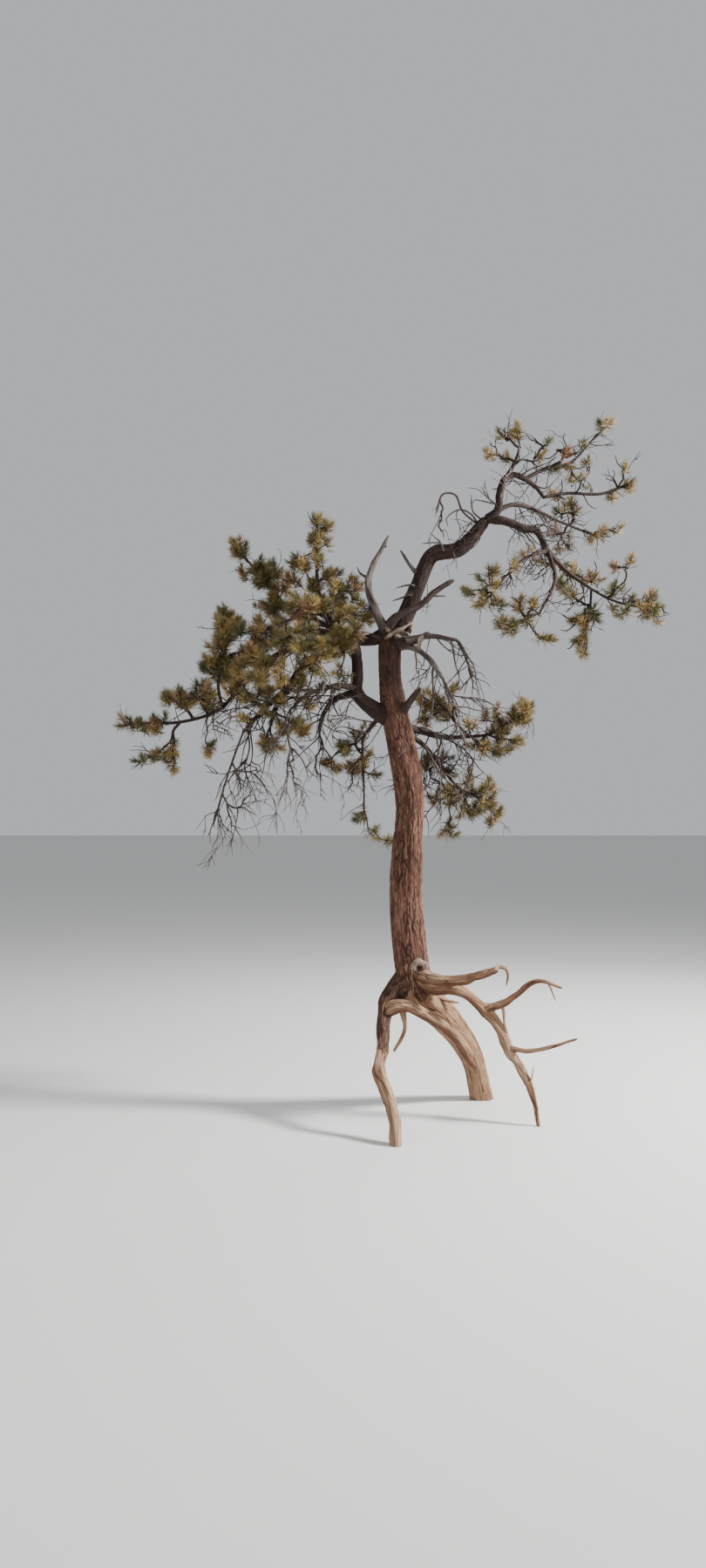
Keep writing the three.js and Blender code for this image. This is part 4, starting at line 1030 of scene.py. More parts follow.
class Tubes:
    """Closed tapered tubes gathered into one mesh. Each one ends in a point."""

    def __init__(self):
        self.corners = []
        self.triangles = []
        self.corner_count = 0
        self.triangle_count = 0
        self.owners = set()

    def add(self, owner, points, radii):
        sides = next((sides for least, sides in TUBE_SIDES if max(radii) > least), TUBE_LEAST_SIDES)
        headings = np.gradient(points, axis=0)
        headings /= np.maximum(np.linalg.norm(headings, axis=1), TINY)[:, None]
        helper = LEVEL_HELPER if abs(headings[0][0]) < STEEP else UPRIGHT_HELPER
        out = rings_round(headings[:-1], unit(np.cross(headings[0], helper)), sides)
        rings = points[:-1, None] + radii[:-1, None, None] * out
        quads, low, high = ring_faces(len(rings), sides)
        last = (len(rings) - 1) * sides
        inner = np.arange(1, sides - 1)
        faces = [
            quads[:, [0, 1, 3]],
            quads[:, [1, 2, 3]],
            np.stack([last + low, last + high, np.full(sides, last + sides)], 1),
            np.stack([np.zeros(sides - 2, int), inner + 1, inner], 1),
        ]
        self.corners.append(np.vstack([rings.reshape(-1, 3), points[-1:]]))
        self.triangles.append(np.vstack(faces) + self.corner_count)
        self.corner_count += len(self.corners[-1])
        self.triangle_count += len(self.triangles[-1])
        self.owners.add(owner)


# Paths of the finer twigs
def wound(points, amount, random):
    """A path with small bends of its own, which fade towards both ends."""
    length = np.linalg.norm(points[-1] - points[0])
    direct = unit(points[-1] - points[0])
    across = unit(np.cross(direct, random.normal(size=3)))
    along = np.cross(direct, across)
    shares = np.linspace(0, 1, len(points))
    fade = np.sin(math.pi * shares) ** WAVE_FADE
    fewest, most = WAVES
    result = points.copy()
    for side in (across, along):
        waves = random.uniform(fewest, min(most, max(1.0, len(points) / PLACES_PER_WAVE)))
        phase = random.uniform(0, 2 * math.pi)
        size = amount * length * random.uniform(*WAVE_SIZES)
        result += (size * fade * np.sin(2 * math.pi * waves * shares + phase))[:, None] * side
    return result


def wandering(start, heading, length, droop, random):
    """A sinuous path that wanders off its heading, and sinks or rises as it goes."""
    steps = max(WANDER_LEAST_STEPS, round(length / WANDER_STEP))
    points = [start]
    bend = random.normal(0, WANDER, 3)
    for _ in range(steps):
        bend = bend * WANDER_HOLD + random.normal(0, WANDER, 3) * (1 - WANDER_HOLD)
        heading = unit(heading + bend + UP * droop * WANDER_PULL)
        points.append(points[-1] + heading * (length / steps))
    return np.array(points)


def turned_from(heading, angle, random):
    """A direction at an angle to a heading, turned any way round it."""
    across = unit(np.cross(heading, random.normal(size=3)))
    return heading * math.cos(angle) + across * math.sin(angle)


def inside_box(points, margin):
    """Whether each point lies in the part's own box, less a margin."""
    low = np.array(cad_low) / MM + margin
    high = np.array(cad_high) / MM - margin
    return ((points > low) & (points < high)).all(axis=1)


Spray = namedtuple("Spray", "mass site heading size")


class Crown:
    """The twigs and tufts of one region of the tree."""

    def __init__(self, region):
        self.region = region
        self.habit = REGIONS[region]
        self.random = np.random.default_rng(FINE_SEED + list(REGIONS).index(region))
        self.tubes = {kind: [Tubes()] for kind in TWIG_SHADES}
        self.sprays = []

    def add_tube(self, kind, owner, points, radii):
        if self.tubes[kind][-1].triangle_count > PIECE_TRIANGLES:
            self.tubes[kind].append(Tubes())
        self.tubes[kind][-1].add(owner, points, radii)

    def thicken(self, growth):
        """More tufts at sites of their own, by the same rule, and bare twigs between them."""
        even = self.random.random
        mass = growth.mass
        taken = [site for site, _, _ in growth.tufts]
        growth.space = [*mass.lobes, *mass.tufts, *mass.tips]
        share = 0 if mass.bare else self.habit["more_tufts"] * mass.fullness
        sites = choose_sites(mass.lobes, even, share, taken)
        sites += choose_sites(mass.tufts, even, 1, [*taken, *sites])
        growth.add_tufts(sites, TUFT_FINE_LEAST, even)
        share = self.habit["bare_in_bare" if mass.bare else "more_bare"]
        for site in choose_sites(mass.lobes, even, share, taken) + choose_sites(mass.tips, even):
            if standing.gap(site, mass.name) > TWIG_CLEARANCE:
                growth.grow_twig(site, even)

    def dress(self, growth):
        """Tubes for the stem and the twigs, with side shoots and twiglets on them."""
        habit = BARE_TWIGS if growth.mass.bare else LIVE_TWIGS
        radii = growth.radii()
        stem_count = len(growth.stem_points)
        shares = np.linspace(0, 1, STEM_DIVISIONS * (stem_count - 1) + 1)
        path = growth.stem.points(shares)
        widths = np.interp(shares, np.linspace(0, 1, stem_count), radii[:stem_count])
        widths[0] = widths[1]
        path[0] -= unit(path[1] - path[0]) * STEM_SINK
        self.add_twig(growth.mass, path, widths * habit["size"])
        for chain, curve in growth.twigs:
            steps = int(np.linalg.norm(curve.places[3] - curve.places[0]) / TWIG_STEP)
            shares = np.linspace(0, 1, max(TWIG_LEAST_PLACES, steps))
            path = wound(curve.points(shares), self.habit["winding"], self.random)
            foot = min(radii[chain[1]] * TWIG_FOOT, radii[chain[0]])
            thick = [foot, radii[chain[1]], radii[chain[-1]] * habit["tip"]]
            widths = np.interp(shares, [0, 1 / (len(chain) - 1), 1], thick)
            self.add_twig(growth.mass, path, widths * habit["size"])
        if not growth.mass.bare:
            for tuft in growth.tufts:
                self.sprays.append(Spray(growth.mass.name, *tuft))
                self.add_side_shoots(growth, *tuft)

    def add_side_shoots(self, growth, site, heading, size):
        """Short shoots below a tuft, each with a smaller tuft."""
        random = self.random
        mass = growth.mass.name
        for _ in range(SIDE_SHOOTS):
            if random.random() > self.habit["side_shoots"]:
                continue
            start = site - heading * random.uniform(*SHOOT_BACK)
            direction = unit(turned_from(heading, random.uniform(*SHOOT_ANGLE), random) + UP * SHOOT_LIFT)
            end = start + direction * random.uniform(*SHOOT_LENGTH)
            before = end - unit(direction + UP * SHOOT_RISE) * SHOOT_HANDLE
            curve = Bend(start, start + heading * SHOOT_HANDLE, before, end)
            path = curve.points(np.linspace(0, 1, SHOOT_PLACES))
            room = np.concatenate([path, end + np.eye(3) * SHOOT_ROOM, end - np.eye(3) * SHOOT_ROOM])
            clear = standing.gaps(path[1:], mass).min() > TWIG_CLEARANCE
            if clear and inside_box(room, BOX_MARGIN).all() and growth.inside(path):
                self.add_tube("live", mass, path, np.linspace(*SHOOT_RADII, SHOOT_PLACES))
                self.sprays.append(Spray(mass, end, curve.heading(1), size * random.uniform(*SHOOT_SIZE)))

    def add_twig(self, mass, path, widths):
        """A twig, and thin bare side twigs along it."""
        random = self.random
        self.add_tube("dead" if mass.bare else "live", mass.name, path, widths)
        habit = {**self.habit, **(BARE_TWIGS if mass.bare else LIVE_TWIGS)}
        length = np.linalg.norm(np.diff(path, axis=0), axis=1).sum()
        for _ in range(random.poisson(length / habit["spacing"])):
            step = random.uniform(*TWIGLET_PLACES) * (len(path) - 1)
            index = int(step)
            start = path[index] + (path[index + 1] - path[index]) * (step - index)
            heading = unit(path[index + 1] - path[index])
            aside = turned_from(heading, random.uniform(*habit["angles"]), random)
            aside = unit(aside + UP * habit["droop"] * TWIGLET_SINK)
            thickest = widths[index] * TWIGLET_SHARE
            reach = random.uniform(*habit["length"])
            self.add_twiglet(mass.name, start, aside, thickest, reach, habit["droop"], mass.bare)

    def twiglet_kind(self, dead):
        if dead or self.random.random() < self.habit["dead_twiglets"]:
            return "pale" if self.random.random() < self.habit["pale_twigs"] else "dead"
        return "live"

    def add_twiglet(self, owner, start, heading, thickest, length, droop, dead, kind=None, depth=0):
        """A thin bare side twig that wanders, sinks or rises, and may fork."""
        random = self.random
        path = wandering(start, heading, length, droop, random)
        outer = path[len(path) // 3:]
        if not inside_box(path, BOX_MARGIN).all() or standing.gaps(outer, owner).min() < TWIGLET_CLEARANCE:
            return
        thick = min(max(thickest, TWIGLET_LEAST), TWIGLET_MOST + length * TWIGLET_GAIN)
        kind = kind or self.twiglet_kind(dead)
        self.add_tube(kind, owner, path, np.linspace(thick, TWIGLET_TIP, len(path)))
        if depth == FORK_DEPTH:
            return
        for _ in range(random.poisson(length / FORK_SPACING)):
            index = int(random.uniform(*FORK_PLACES) * (len(path) - 1))
            ahead = unit(path[index + 1] - path[index])
            aside = turned_from(ahead, random.uniform(*FORK_ANGLES), random)
            shorter = length * random.uniform(*FORK_LENGTHS)
            self.add_twiglet(
                owner, path[index], aside, thick * FORK_SHARE, shorter, droop, dead, kind, depth + 1,
            )

    def hang_twigs(self, limb, spacing, shortest, longest, droop):
        """Dead twigs that hang from a limb, along its length."""
        random = self.random
        route = SmoothRoute(limb.route)
        for _ in range(round(route.length / spacing)):
            share = random.uniform(*HANGING_PLACES)
            heading = route.heading(share)
            sideways = unit(np.cross(heading, UP)) * random.choice([-1, 1])
            out = unit(sideways * random.uniform(*HANGING_ASIDE) + UP * random.uniform(*HANGING_UP))
            start = route.points(share) + out * radius_at(limb, share) * HANGING_SINK
            length = random.uniform(shortest, longest)
            away = unit(out + heading * random.uniform(*HANGING_AHEAD))
            thickest = HANGING_RADIUS + length * HANGING_GAIN
            self.add_twiglet(limb.name, start, away, thickest, length, droop, True)


# Needles
def needles_of(spray, count, back, angles, random):
    """Base places, directions and lengths of the needles of one tuft, in bundles."""
    bundles = max(1, round(round(count * spray.size) / BUNDLE))
    along = random.random(bundles)
    heading = unit(spray.heading)
    angle = angles[0] + (angles[1] - angles[0]) * along + random.normal(0, NEEDLE_TURN, bundles)
    angle = np.radians(angle)
    turn = 2 * math.pi * random.random(bundles)
    across = unit(np.cross(heading, NEEDLE_HELPER))
    other = np.cross(heading, across)
    outward = np.cos(turn)[:, None] * across + np.sin(turn)[:, None] * other
    direction = np.cos(angle)[:, None] * heading + np.sin(angle)[:, None] * outward
    base = spray.site - heading * (back * spray.size * (1 - along))[:, None] + outward * NEEDLE_ROOT
    length = spray.size * random.normal(NEEDLE_LENGTH, NEEDLE_LENGTH * NEEDLE_VARIETY, bundles)
    direction = np.repeat(direction, BUNDLE, axis=0)
    direction = direction + random.normal(0, BUNDLE_SPREAD, direction.shape)
    direction /= np.linalg.norm(direction, axis=1)[:, None]
    length = np.repeat(length, BUNDLE) * random.uniform(*BUNDLE_LENGTHS, bundles * BUNDLE)
    return np.repeat(base, BUNDLE, axis=0), direction, length


def needle_mesh_arrays(base, direction, length, random):
    """A three-sided spike for each needle."""
    across = np.cross(direction, random.normal(size=base.shape))
    across /= np.linalg.norm(across, axis=1)[:, None]
    other = np.cross(direction, across)
    corners = [
        base + NEEDLE_WIDTH * NEEDLE_FOOT * (math.cos(turn) * across + math.sin(turn) * other)
        for turn in (0, 2 * math.pi / 3, 4 * math.pi / 3)
    ]
    corners.append(base + direction * length[:, None])
    vertices = np.stack(corners, 1).reshape(-1, 3)
    spike = np.array([[0, 1, 3], [1, 2, 3], [2, 0, 3]])
    triangles = (np.arange(len(base)) * 4)[:, None, None] + spike[None]
    return vertices, triangles.reshape(-1, 3)


def deal_tint(random, tints):
    names = list(tints)
    weights = np.array([tints[name] for name in names], float)
    return names[int(random.choice(len(names), p=weights / weights.sum()))]


def gather_needles(crown):
    """The needles of one region by tint, with each tuft's older needles dealt their own tint."""
    gathered = {}
    for spray in crown.sprays:
        full = deal_tint(crown.random, crown.habit["tints"])
        old = deal_tint(crown.random, OLD_TINTS[full])
        for tint, habit in ((full, LIVING_NEEDLES), (old, OLD_NEEDLES)):
            base, direction, length = needles_of(spray, *habit, crown.random)
            tips = base + direction * length[:, None]
            keep = inside_box(tips, NEEDLE_MARGIN) & inside_box(base, NEEDLE_MARGIN)
            gathered.setdefault(tint, []).append((spray.mass, base[keep], direction[keep], length[keep]))
    return gathered


def add_needles(crown):
    """The needles of one region, joined by tint into pieces."""
    for tint, rows in gather_needles(crown).items():
        parts = [[]]
        count = 0
        for row in rows:
            if count + len(row[1]) * 3 > PIECE_TRIANGLES:
                parts.append([])
                count = 0
            parts[-1].append(row)
            count += len(row[1]) * 3
        for number, part in enumerate(parts):
            arrays = [np.concatenate([row[column] for row in part]) for column in (1, 2, 3)]
            vertices, triangles = needle_mesh_arrays(*arrays, crown.random)
            piece = mesh_object(f"needles_{tint}_{crown.region}_{number}", vertices, triangles, False)
            piece.data.materials.append(NEEDLE_MATERIALS[tint])
            finish_piece(piece, sorted({row[0] for row in part}))


# Meshes and pieces
def place_object(name, data, place=(0, 0, 0)):
    thing = bpy.data.objects.new(name, data)
    thing.location = place
    bpy.context.scene.collection.objects.link(thing)
    return thing


def mesh_object(name, vertices, triangles, smooth=True):
    mesh = bpy.data.meshes.new(name)
    mesh.vertices.add(len(vertices))
    mesh.vertices.foreach_set("co", (vertices * MM).astype(np.float32).ravel())
    mesh.loops.add(len(triangles) * 3)
    mesh.loops.foreach_set("vertex_index", triangles.astype(np.int32).ravel())
    mesh.polygons.add(len(triangles))
    mesh.polygons.foreach_set("loop_start", np.arange(0, len(triangles) * 3, 3, dtype=np.int32))
    mesh.polygons.foreach_set("use_smooth", np.full(len(triangles), smooth))
    mesh.update(calc_edges=True)
    return place_object(name, mesh)


def finish_piece(piece, nodes=()):
    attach(piece, "root")
    if nodes:
        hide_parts(*nodes)


def add_twigs(crown):
    for kind, groups in crown.tubes.items():
        for number, tubes in enumerate(groups):
            if tubes.triangle_count:
                name = f"twigs_{kind}_{crown.region}_{number}"
                piece = mesh_object(name, np.vstack(tubes.corners), np.vstack(tubes.triangles))
                piece.data.materials.append(TWIG_MATERIALS[kind])
                finish_piece(piece, sorted(tubes.owners & MASS_NAMES))


# Relief of bark and weathered wood
def smooth_step(low, high, value):
    share = np.clip((value - low) / (high - low), 0, 1)
    return share * share * (3 - 2 * share)


def noise_at(places):
    """One even noise value for each place, between about -1 and 1."""
    values = [noise.noise(Vector(place)) for place in places.reshape(-1, 3).tolist()]
    return np.array(values).reshape(places.shape[:-1])


def cells_at(places):
    """How near each place is to a border between cells, and a number for its cell."""
    borders = []
    tints = []
    for place in places.reshape(-1, 3).tolist():
        distances, centres = noise.voronoi(Vector(place))
        borders.append(distances[1] - distances[0])
        tints.append(noise.cell(centres[0] * CELL_SCALE))
    return np.array(borders).reshape(places.shape[:-1]), np.array(tints).reshape(places.shape[:-1])


def swayed(places, scale):
    """Three slow noise values for each place, which bend the borders between cells."""
    return np.stack([noise_at(places * scale + shift) for shift in SWAY_SHIFTS], -1)


def seam(distance, width):
    """1 on a border between cells, fading to 0 away from it."""
    return np.exp(-((distance / width) ** 2))


def joined_limb(names):
    """Limbs that run on into each other, as one."""
    limbs = [limb for name in names for limb in LIMBS if limb.name == name]
    route = limbs[0].route + [place for limb in limbs[1:] for place in limb.route[1:]]
    lengths = np.array([SmoothRoute(limb.route).length for limb in limbs])
    starts = np.concatenate([[0], np.cumsum(lengths)])
    marks = [
        start + length * share
        for limb, start, length in zip(limbs, starts, lengths)
        for share in np.linspace(0, 1, len(limb.radii))
    ]
    radii = [radius for limb in limbs for radius in limb.radii]
    return replace(limbs[0], route=route, radii=radii, marks=np.array(marks) / starts[-1], nodes=names)


class Skin:
    """Rings of corners along a limb: their axis, and the place round and along it of each corner."""

    def __init__(self, limb, carrier_radius):
        route = SmoothRoute(limb.route)
        widest = float(max(limb.radii))
        marks = np.linspace(0, 1, len(limb.radii)) if limb.marks is None else limb.marks
        around = min(max(SURFACE_STEP * widest, FINEST_STEP), COARSEST_STEP)
        sides = max(LEAST_SIDES, round(2 * math.pi * widest / around))
        rings = max(LEAST_RINGS, round(route.length / (around * WOODS[limb.wood].stretch)))
        shares = np.linspace(0, 1, rings + 1)
        self.points = route.points(shares)
        self.widths = np.interp(shares, marks, limb.radii)
        self.arc = shares * route.length
        self.left = self.arc[-1] - self.arc
        if self.widths[0] < carrier_radius * FLARE_LIMIT:
            reach = carrier_radius * FLARE_REACH + widest
            self.widths = self.widths * (1 + FLARE * np.exp(-((self.arc / reach) ** 2)))
        headings = np.gradient(self.points, axis=0)
        self.headings = headings / np.linalg.norm(headings, axis=1)[:, None]
        helper = [1.0, 0, 0] if abs(self.headings[0][0]) < STEEP else [0, 1.0, 0]
        self.out = rings_round(self.headings, unit(np.cross(helper, self.headings[0])), sides)
        self.length, turn = np.meshgrid(self.arc, 2 * math.pi * np.arange(sides) / sides, indexing="ij")
        self.radius = np.repeat(self.widths[:, None], sides, axis=1)
        spin = turn + WOODS[limb.wood].twist * MM * self.length
        self.x = self.radius * np.cos(spin)
        self.y = self.radius * np.sin(spin)

    def grid(self, across, along, seed):
        """Noise places for the corners, at a scale across the limb and one along it."""
        return np.stack([self.x / across + seed, self.y / across, self.length / along], -1)

    def drawn_in(self, places, shares):
        """Rings of places drawn in towards the axis, each by its own share."""
        return self.points[:, None, :] + (places - self.points[:, None, :]) * shares[:, None, None]


def bark_relief(skin, seed):
    """Long plates between dark fissures: height, depth in a fissure, and a tint for each plate. The depth in
    a fissure darkens the colour there, as the fissure's own dark and painted shade.
    """
    scale = np.clip(skin.radius * PLATE_SHARE, *PLATE_WIDTHS)
    places = skin.grid(scale, scale * PLATE_LENGTH, seed)
    sway = swayed(places, BARK_SWAY) * BARK_SWAY_SHARES
    borders, tints = cells_at(places + PLATE_SWAY * sway)
    cracks, _ = cells_at(places * CRACKS + CRACK_SHIFT + CRACK_SWAY * sway)
    fade = smooth_step(*BARK_FADE_STEP, noise_at(places * BARK_FADE + FADE_SHIFT))
    fissure = seam(borders, FISSURE_WIDTH) * (FAINTEST_FISSURE + (1 - FAINTEST_FISSURE) * fade)
    crack = CRACK_SHARE * seam(cracks, CRACK_WIDTH)
    flakes = noise_at(places * FLAKES)
    # The groove darkens the colour: the fissures' own dark and painted shade in them
    groove = np.clip(fissure + crack * (1 - fissure) + FLAKE_GROOVE * flakes, 0, 1)
    depth = np.clip(skin.radius * BARK_DEPTH, *BARK_DEPTHS)
    rise = PLATE_RISE * np.minimum(borders, PLATE_TOP) + FLAKE_HEIGHT * flakes
    return depth * (rise - fissure - CRACK_SHARE * crack), groove, tints


def wood_relief(skin, seed):
    """Open grain along the wood, with furrows and a few deep splits that fade out."""
    places = skin.grid(GRAIN_WIDTH, GRAIN_LENGTH, seed)
    sway = GRAIN_SWAY * swayed(places, GRAIN_SWAY_SIZE)
    furrows, tints = cells_at(places + sway)
    splits, _ = cells_at(places * SPLITS + sway + SPLIT_SHIFT)
    fade = smooth_step(*GRAIN_FADE_STEP, noise_at(places * GRAIN_FADE + FADE_SHIFT))
    hair = noise_at(places * HAIR + HAIR_SHIFT)
    furrow = seam(furrows, FURROW_WIDTH) * (FAINTEST_FURROW + (1 - FAINTEST_FURROW) * fade)
    split = seam(splits, SPLIT_WIDTH) * fade
    # The groove darkens the colour: darker wood and painted shade in furrows and splits
    groove = np.clip(FURROW_GROOVE * furrow + SPLIT_GROOVE * split, 0, 1)
    depth = np.clip(skin.radius * GRAIN_DEPTH, *GRAIN_DEPTHS)
    return depth * (HAIR_HEIGHT * hair - FURROW_DEPTH * furrow - SPLIT_DEPTH * split), groove, tints


def lumps_of(limb, skin, seed):
    """Slow swellings of the whole limb, between about -1 and 1."""
    across, along = WOODS[limb.wood].lump_shape
    wide = np.clip(skin.radius * across, *LUMP_SIZES)
    return noise_at(np.stack([skin.x / wide, skin.y / wide + seed, skin.length / (wide * along)], -1))


def burl_heights(limb, places):
    """Ring-shaped swellings where a branch was lost."""
    heights = np.zeros(places.shape[:-1])
    for name, centre, reach, height, _ in BURLS:
        if name == limb.name:
            away = np.linalg.norm(places - centre, axis=-1)
            heights += height * seam(away / reach - BURL_RIM, BURL_WIDTH)
    return heights


def bare_share(limb, places):
    """How far each place has lost its bark, from 0 to 1."""
    if limb.wood == "dead":
        return np.ones(places.shape[:-1])
    bare = np.full(places.shape[:-1], 1.0 if limb.wood == "root" else 0.0)
    if limb.bark_above:
        level = places[..., 2] + BARK_EDGE * noise_at(places / BARK_EDGE_SIZE)
        bare = 1 - smooth_step(*limb.bark_above, level)
    for name, centre, reach, _, pale in BURLS:
        if name == limb.name and pale:
            away = np.linalg.norm(places - centre, axis=-1)
            bare = np.maximum(bare, smooth_step(*BURL_EDGE, away / reach))
    for name, first, last, width in BARE_STRIPS:
        if name == limb.name:
            line = np.subtract(last, first)
            share = np.clip((places - first) @ line / (line @ line), 0, 1)
            away = np.linalg.norm(places - first - share[..., None] * line, axis=-1)
            rough = STRIP_ROUGHNESS * noise_at(places / STRIP_GRAIN)
            bare = np.maximum(bare, smooth_step(*STRIP_EDGE, away / width + rough))
    return bare


# Ends of limbs
def rounded_end(skin, places, left, width):
    """The last stretch draws in, so that a limb passes into the twigs that it carries."""
    share = np.clip(left / (width * END_ROUNDING), 0, 1)
    share = np.sqrt(np.clip(1 - (1 - share) ** 2, 0, 1))
    return skin.drawn_in(places, END_SHARE + (1 - END_SHARE) * share)


def broken_end(skin, places, seed):
    """A splintered end: slivers of different length, drawn in a little."""
    left = np.clip(skin.left / BROKEN_REACH, 0, 1)
    level = np.full_like(skin.x, SLIVER_LEVEL)
    slivers = noise_at(np.stack([skin.x / SLIVER_WIDTH, skin.y / SLIVER_WIDTH + seed, level], -1))
    shift = BROKEN_SLIVERS * slivers * (1 - left[:, None]) ** 2
    drawn = skin.drawn_in(places, BROKEN_SHARE + (1 - BROKEN_SHARE) * left**0.5)
    return drawn + skin.headings[:, None, :] * shift[..., None]


def hollow_end(skin, places):
    """A thick round rim with a hollow inside it, where a limb was lost and the wood healed over."""
    width = skin.widths[-1]
    left = np.clip(skin.left / width, 0, 1)
    turn = math.pi * (1 - left)
    shift = width * (RIM_HEIGHT * np.sin(turn) - (1 - left) - HOLLOW_DEPTH * (1 - left) ** 3)
    drawn = skin.drawn_in(places, RIM_SHARE + (1 - RIM_SHARE) * np.cos(turn))
    return drawn + (skin.headings * shift[:, None])[:, None, :]


def shaped_end(limb, skin, places, seed):
    if limb.end == "broken":
        return broken_end(skin, places, seed)
    if limb.end == "hollow":
        return hollow_end(skin, places)
    return rounded_end(skin, places, skin.left, skin.widths[-1])


def stain_and_shade_of(limb, skin, lumps, places):
    """Darker wood on the underside, as stain and painted shade, and darker bark up the trunk."""
    # Painted shade and stain on the underside, where the surface faces down
    under = smooth_step(*UNDERSIDE_SHADE_STEP, skin.out[..., 2] + UNDERSIDE_SHADE_EDGE * lumps)
    stain = np.clip(under * WOODS[limb.wood].stain + limb.stain, 0, 1)
    if limb.dark_above:
        stain = np.maximum(stain, smooth_step(*limb.dark_above, places[..., 2] + DARK_EDGE * lumps))
    return stain


def limb_piece(limb, number, carrier_radius):
    """One limb's visible mesh, with bark relief or open grain, its ends closed."""
    skin = Skin(limb, carrier_radius)
    seed = number * SEED_STEP
    places = skin.points[:, None, :] + skin.out * skin.radius[..., None]
    bare = bare_share(limb, places)
    bark = bark_relief(skin, seed) if bare.min() < 1 else NO_RELIEF
    wood = wood_relief(skin, seed) if bare.max() > 0 else NO_RELIEF
    height, groove, tint = (low * (1 - bare) + high * bare for low, high in zip(bark, wood))
    if limb.end == "hollow":
        share = (skin.left / skin.widths[-1])[:, None]
        rim = smooth_step(0, HOLLOW_CALM, share)
        height = height * rim
        # Painted shade inside the hollow
        groove = np.maximum(groove * rim, 1 - smooth_step(*HOLLOW_SHADE, share))
    lumps = lumps_of(limb, skin, seed)
    swell = lumps * skin.radius * (WOODS[limb.wood].lumps if limb.lumps is None else limb.lumps)
    height = height + (swell + burl_heights(limb, places))
    places = shaped_end(limb, skin, places + skin.out * height[..., None], seed)
    stain = stain_and_shade_of(limb, skin, lumps, places)
    if not limb.rooted:
        places = rounded_end(skin, places, skin.arc, skin.widths[0])
    own = np.stack([skin.x + seed * SEED_SHIFT, skin.y, skin.length], -1)
    surface = (places if limb.end == "hollow" else own) * MM
    layers = dict(groove=groove, bare=bare, stain=stain, tint=tint)
    piece = limb_mesh(f"{limb.name}_wood", places, layers, surface)
    if places[..., 2].min() < 0:
        cut_at_ground(piece)
    piece.data.materials.append(WOOD_MATERIALS[limb.tone or limb.wood])
    return piece


def limb_mesh(name, places, attributes, surface):
    rings, sides = places.shape[:2]
    vertices = np.vstack([places.reshape(-1, 3), places[0].mean(axis=0), places[-1].mean(axis=0)])
    quads, low, high = ring_faces(rings, sides)
    first = rings * sides
    last = (rings - 1) * sides
    caps = np.concatenate([
        np.stack([high, low, np.full(sides, first)], 1),
        np.stack([last + low, last + high, np.full(sides, first + 1)], 1),
    ])
    mesh = bpy.data.meshes.new(name)
    mesh.from_pydata((vertices * MM).tolist(), [], quads.tolist() + caps.tolist())
    for key, table in attributes.items():
        layer = mesh.attributes.new(key, "FLOAT", "POINT")
        ends = [table[0].mean(), table[-1].mean()]
        layer.data.foreach_set("value", np.concatenate([table.ravel(), ends]).astype(np.float32))
    layer = mesh.attributes.new("surface", "FLOAT_VECTOR", "POINT")
    ends = [surface[0].mean(axis=0), surface[-1].mean(axis=0)]
    layer.data.foreach_set("vector", np.vstack([surface.reshape(-1, 3), ends]).astype(np.float32).ravel())
    mesh.polygons.foreach_set("use_smooth", np.full(len(mesh.polygons), True))
    return place_object(name, mesh)


def cut_at_ground(piece):
    """A flat end at ground level."""
    work = bmesh.new()
    work.from_mesh(piece.data)
    whole = [*work.verts, *work.edges, *work.faces]
    bmesh.ops.bisect_plane(work, geom=whole, plane_co=(0, 0, 0), plane_no=(0, 0, 1), clear_inner=True)
    rim = [edge for edge in work.edges if edge.is_boundary]
    bmesh.ops.holes_fill(work, edges=rim, sides=0)
    work.to_mesh(piece.data)
    work.free()


def carrier_radius_at(limb, sampled):
    """The radius of the limb that this one starts in."""
    gaps = []
    for name, (points, widths) in sampled.items():
        if name != limb.name:
            away = np.linalg.norm(points - limb.route[0], axis=1)
            index = away.argmin()
            gaps.append((away[index] - widths[index], widths[index]))
    return min(gaps)[1]


def axis_place(place, sampled):
    """The place on the axis of the nearest limb, a little short of the given one."""
    best = (math.inf, None)
    for points, widths in sampled.values():
        for share in np.arange(AXIS_SHARES) / AXIS_SHARES:
            along = points[:-1] + (points[1:] - points[:-1]) * share
            away = np.linalg.norm(along - place, axis=1) - widths[:-1]
            index = away.argmin()
            if away[index] < best[0]:
                best = (away[index], along[index])
    return list(best[1])


def add_limbs(sampled):
    joined = [joined_limb(names) for names in JOINED_LIMBS]
    inside = {name for names in JOINED_LIMBS for name in names}
    single = [replace(limb, nodes=[limb.name]) for limb in LIMBS if limb.name not in inside]
    for number, limb in enumerate(joined + single):
        radius = 0 if limb.name == "trunk" else carrier_radius_at(limb, sampled)
        finish_piece(limb_piece(limb, number, radius), limb.nodes)
    for number, detail in enumerate(DETAILS):
        foot = [axis_place(detail.route[0], sampled)] if detail.rooted else []
        whole = replace(detail, end=detail.end or "broken", route=foot + detail.route)
        finish_piece(limb_piece(whole, len(LIMBS) + number, 0))


# Materials
def screen(colour):
    """A colour in Blender's linear values, from the eight-bit values of a screen."""
    return [
        share / 12.92 if share <= 0.04045 else ((share + 0.055) / 1.055) ** 2.4
        for share in (part / 255 for part in colour)
    ]


def new_material(name, roughness, specular):
    material = bpy.data.materials.new(name)
    material.use_nodes = True
    shader = material.node_tree.nodes["Principled BSDF"]
    shader.inputs["Roughness"].default_value = roughness
    shader.inputs["Specular IOR Level"].default_value = specular
    return material, material.node_tree, shader


def new_node(tree, kind, values, links):
    """A node with its values set and its inputs linked."""
    node = tree.nodes.new(kind)
    for socket, value in values.items():
        node.inputs[socket].default_value = value
    for socket, source in links.items():
        tree.links.new(source, node.inputs[socket])
    return node


def attribute_value(tree, name, output="Fac"):
    node = tree.nodes.new("ShaderNodeAttribute")
    node.attribute_name = name
    return node.outputs[output]


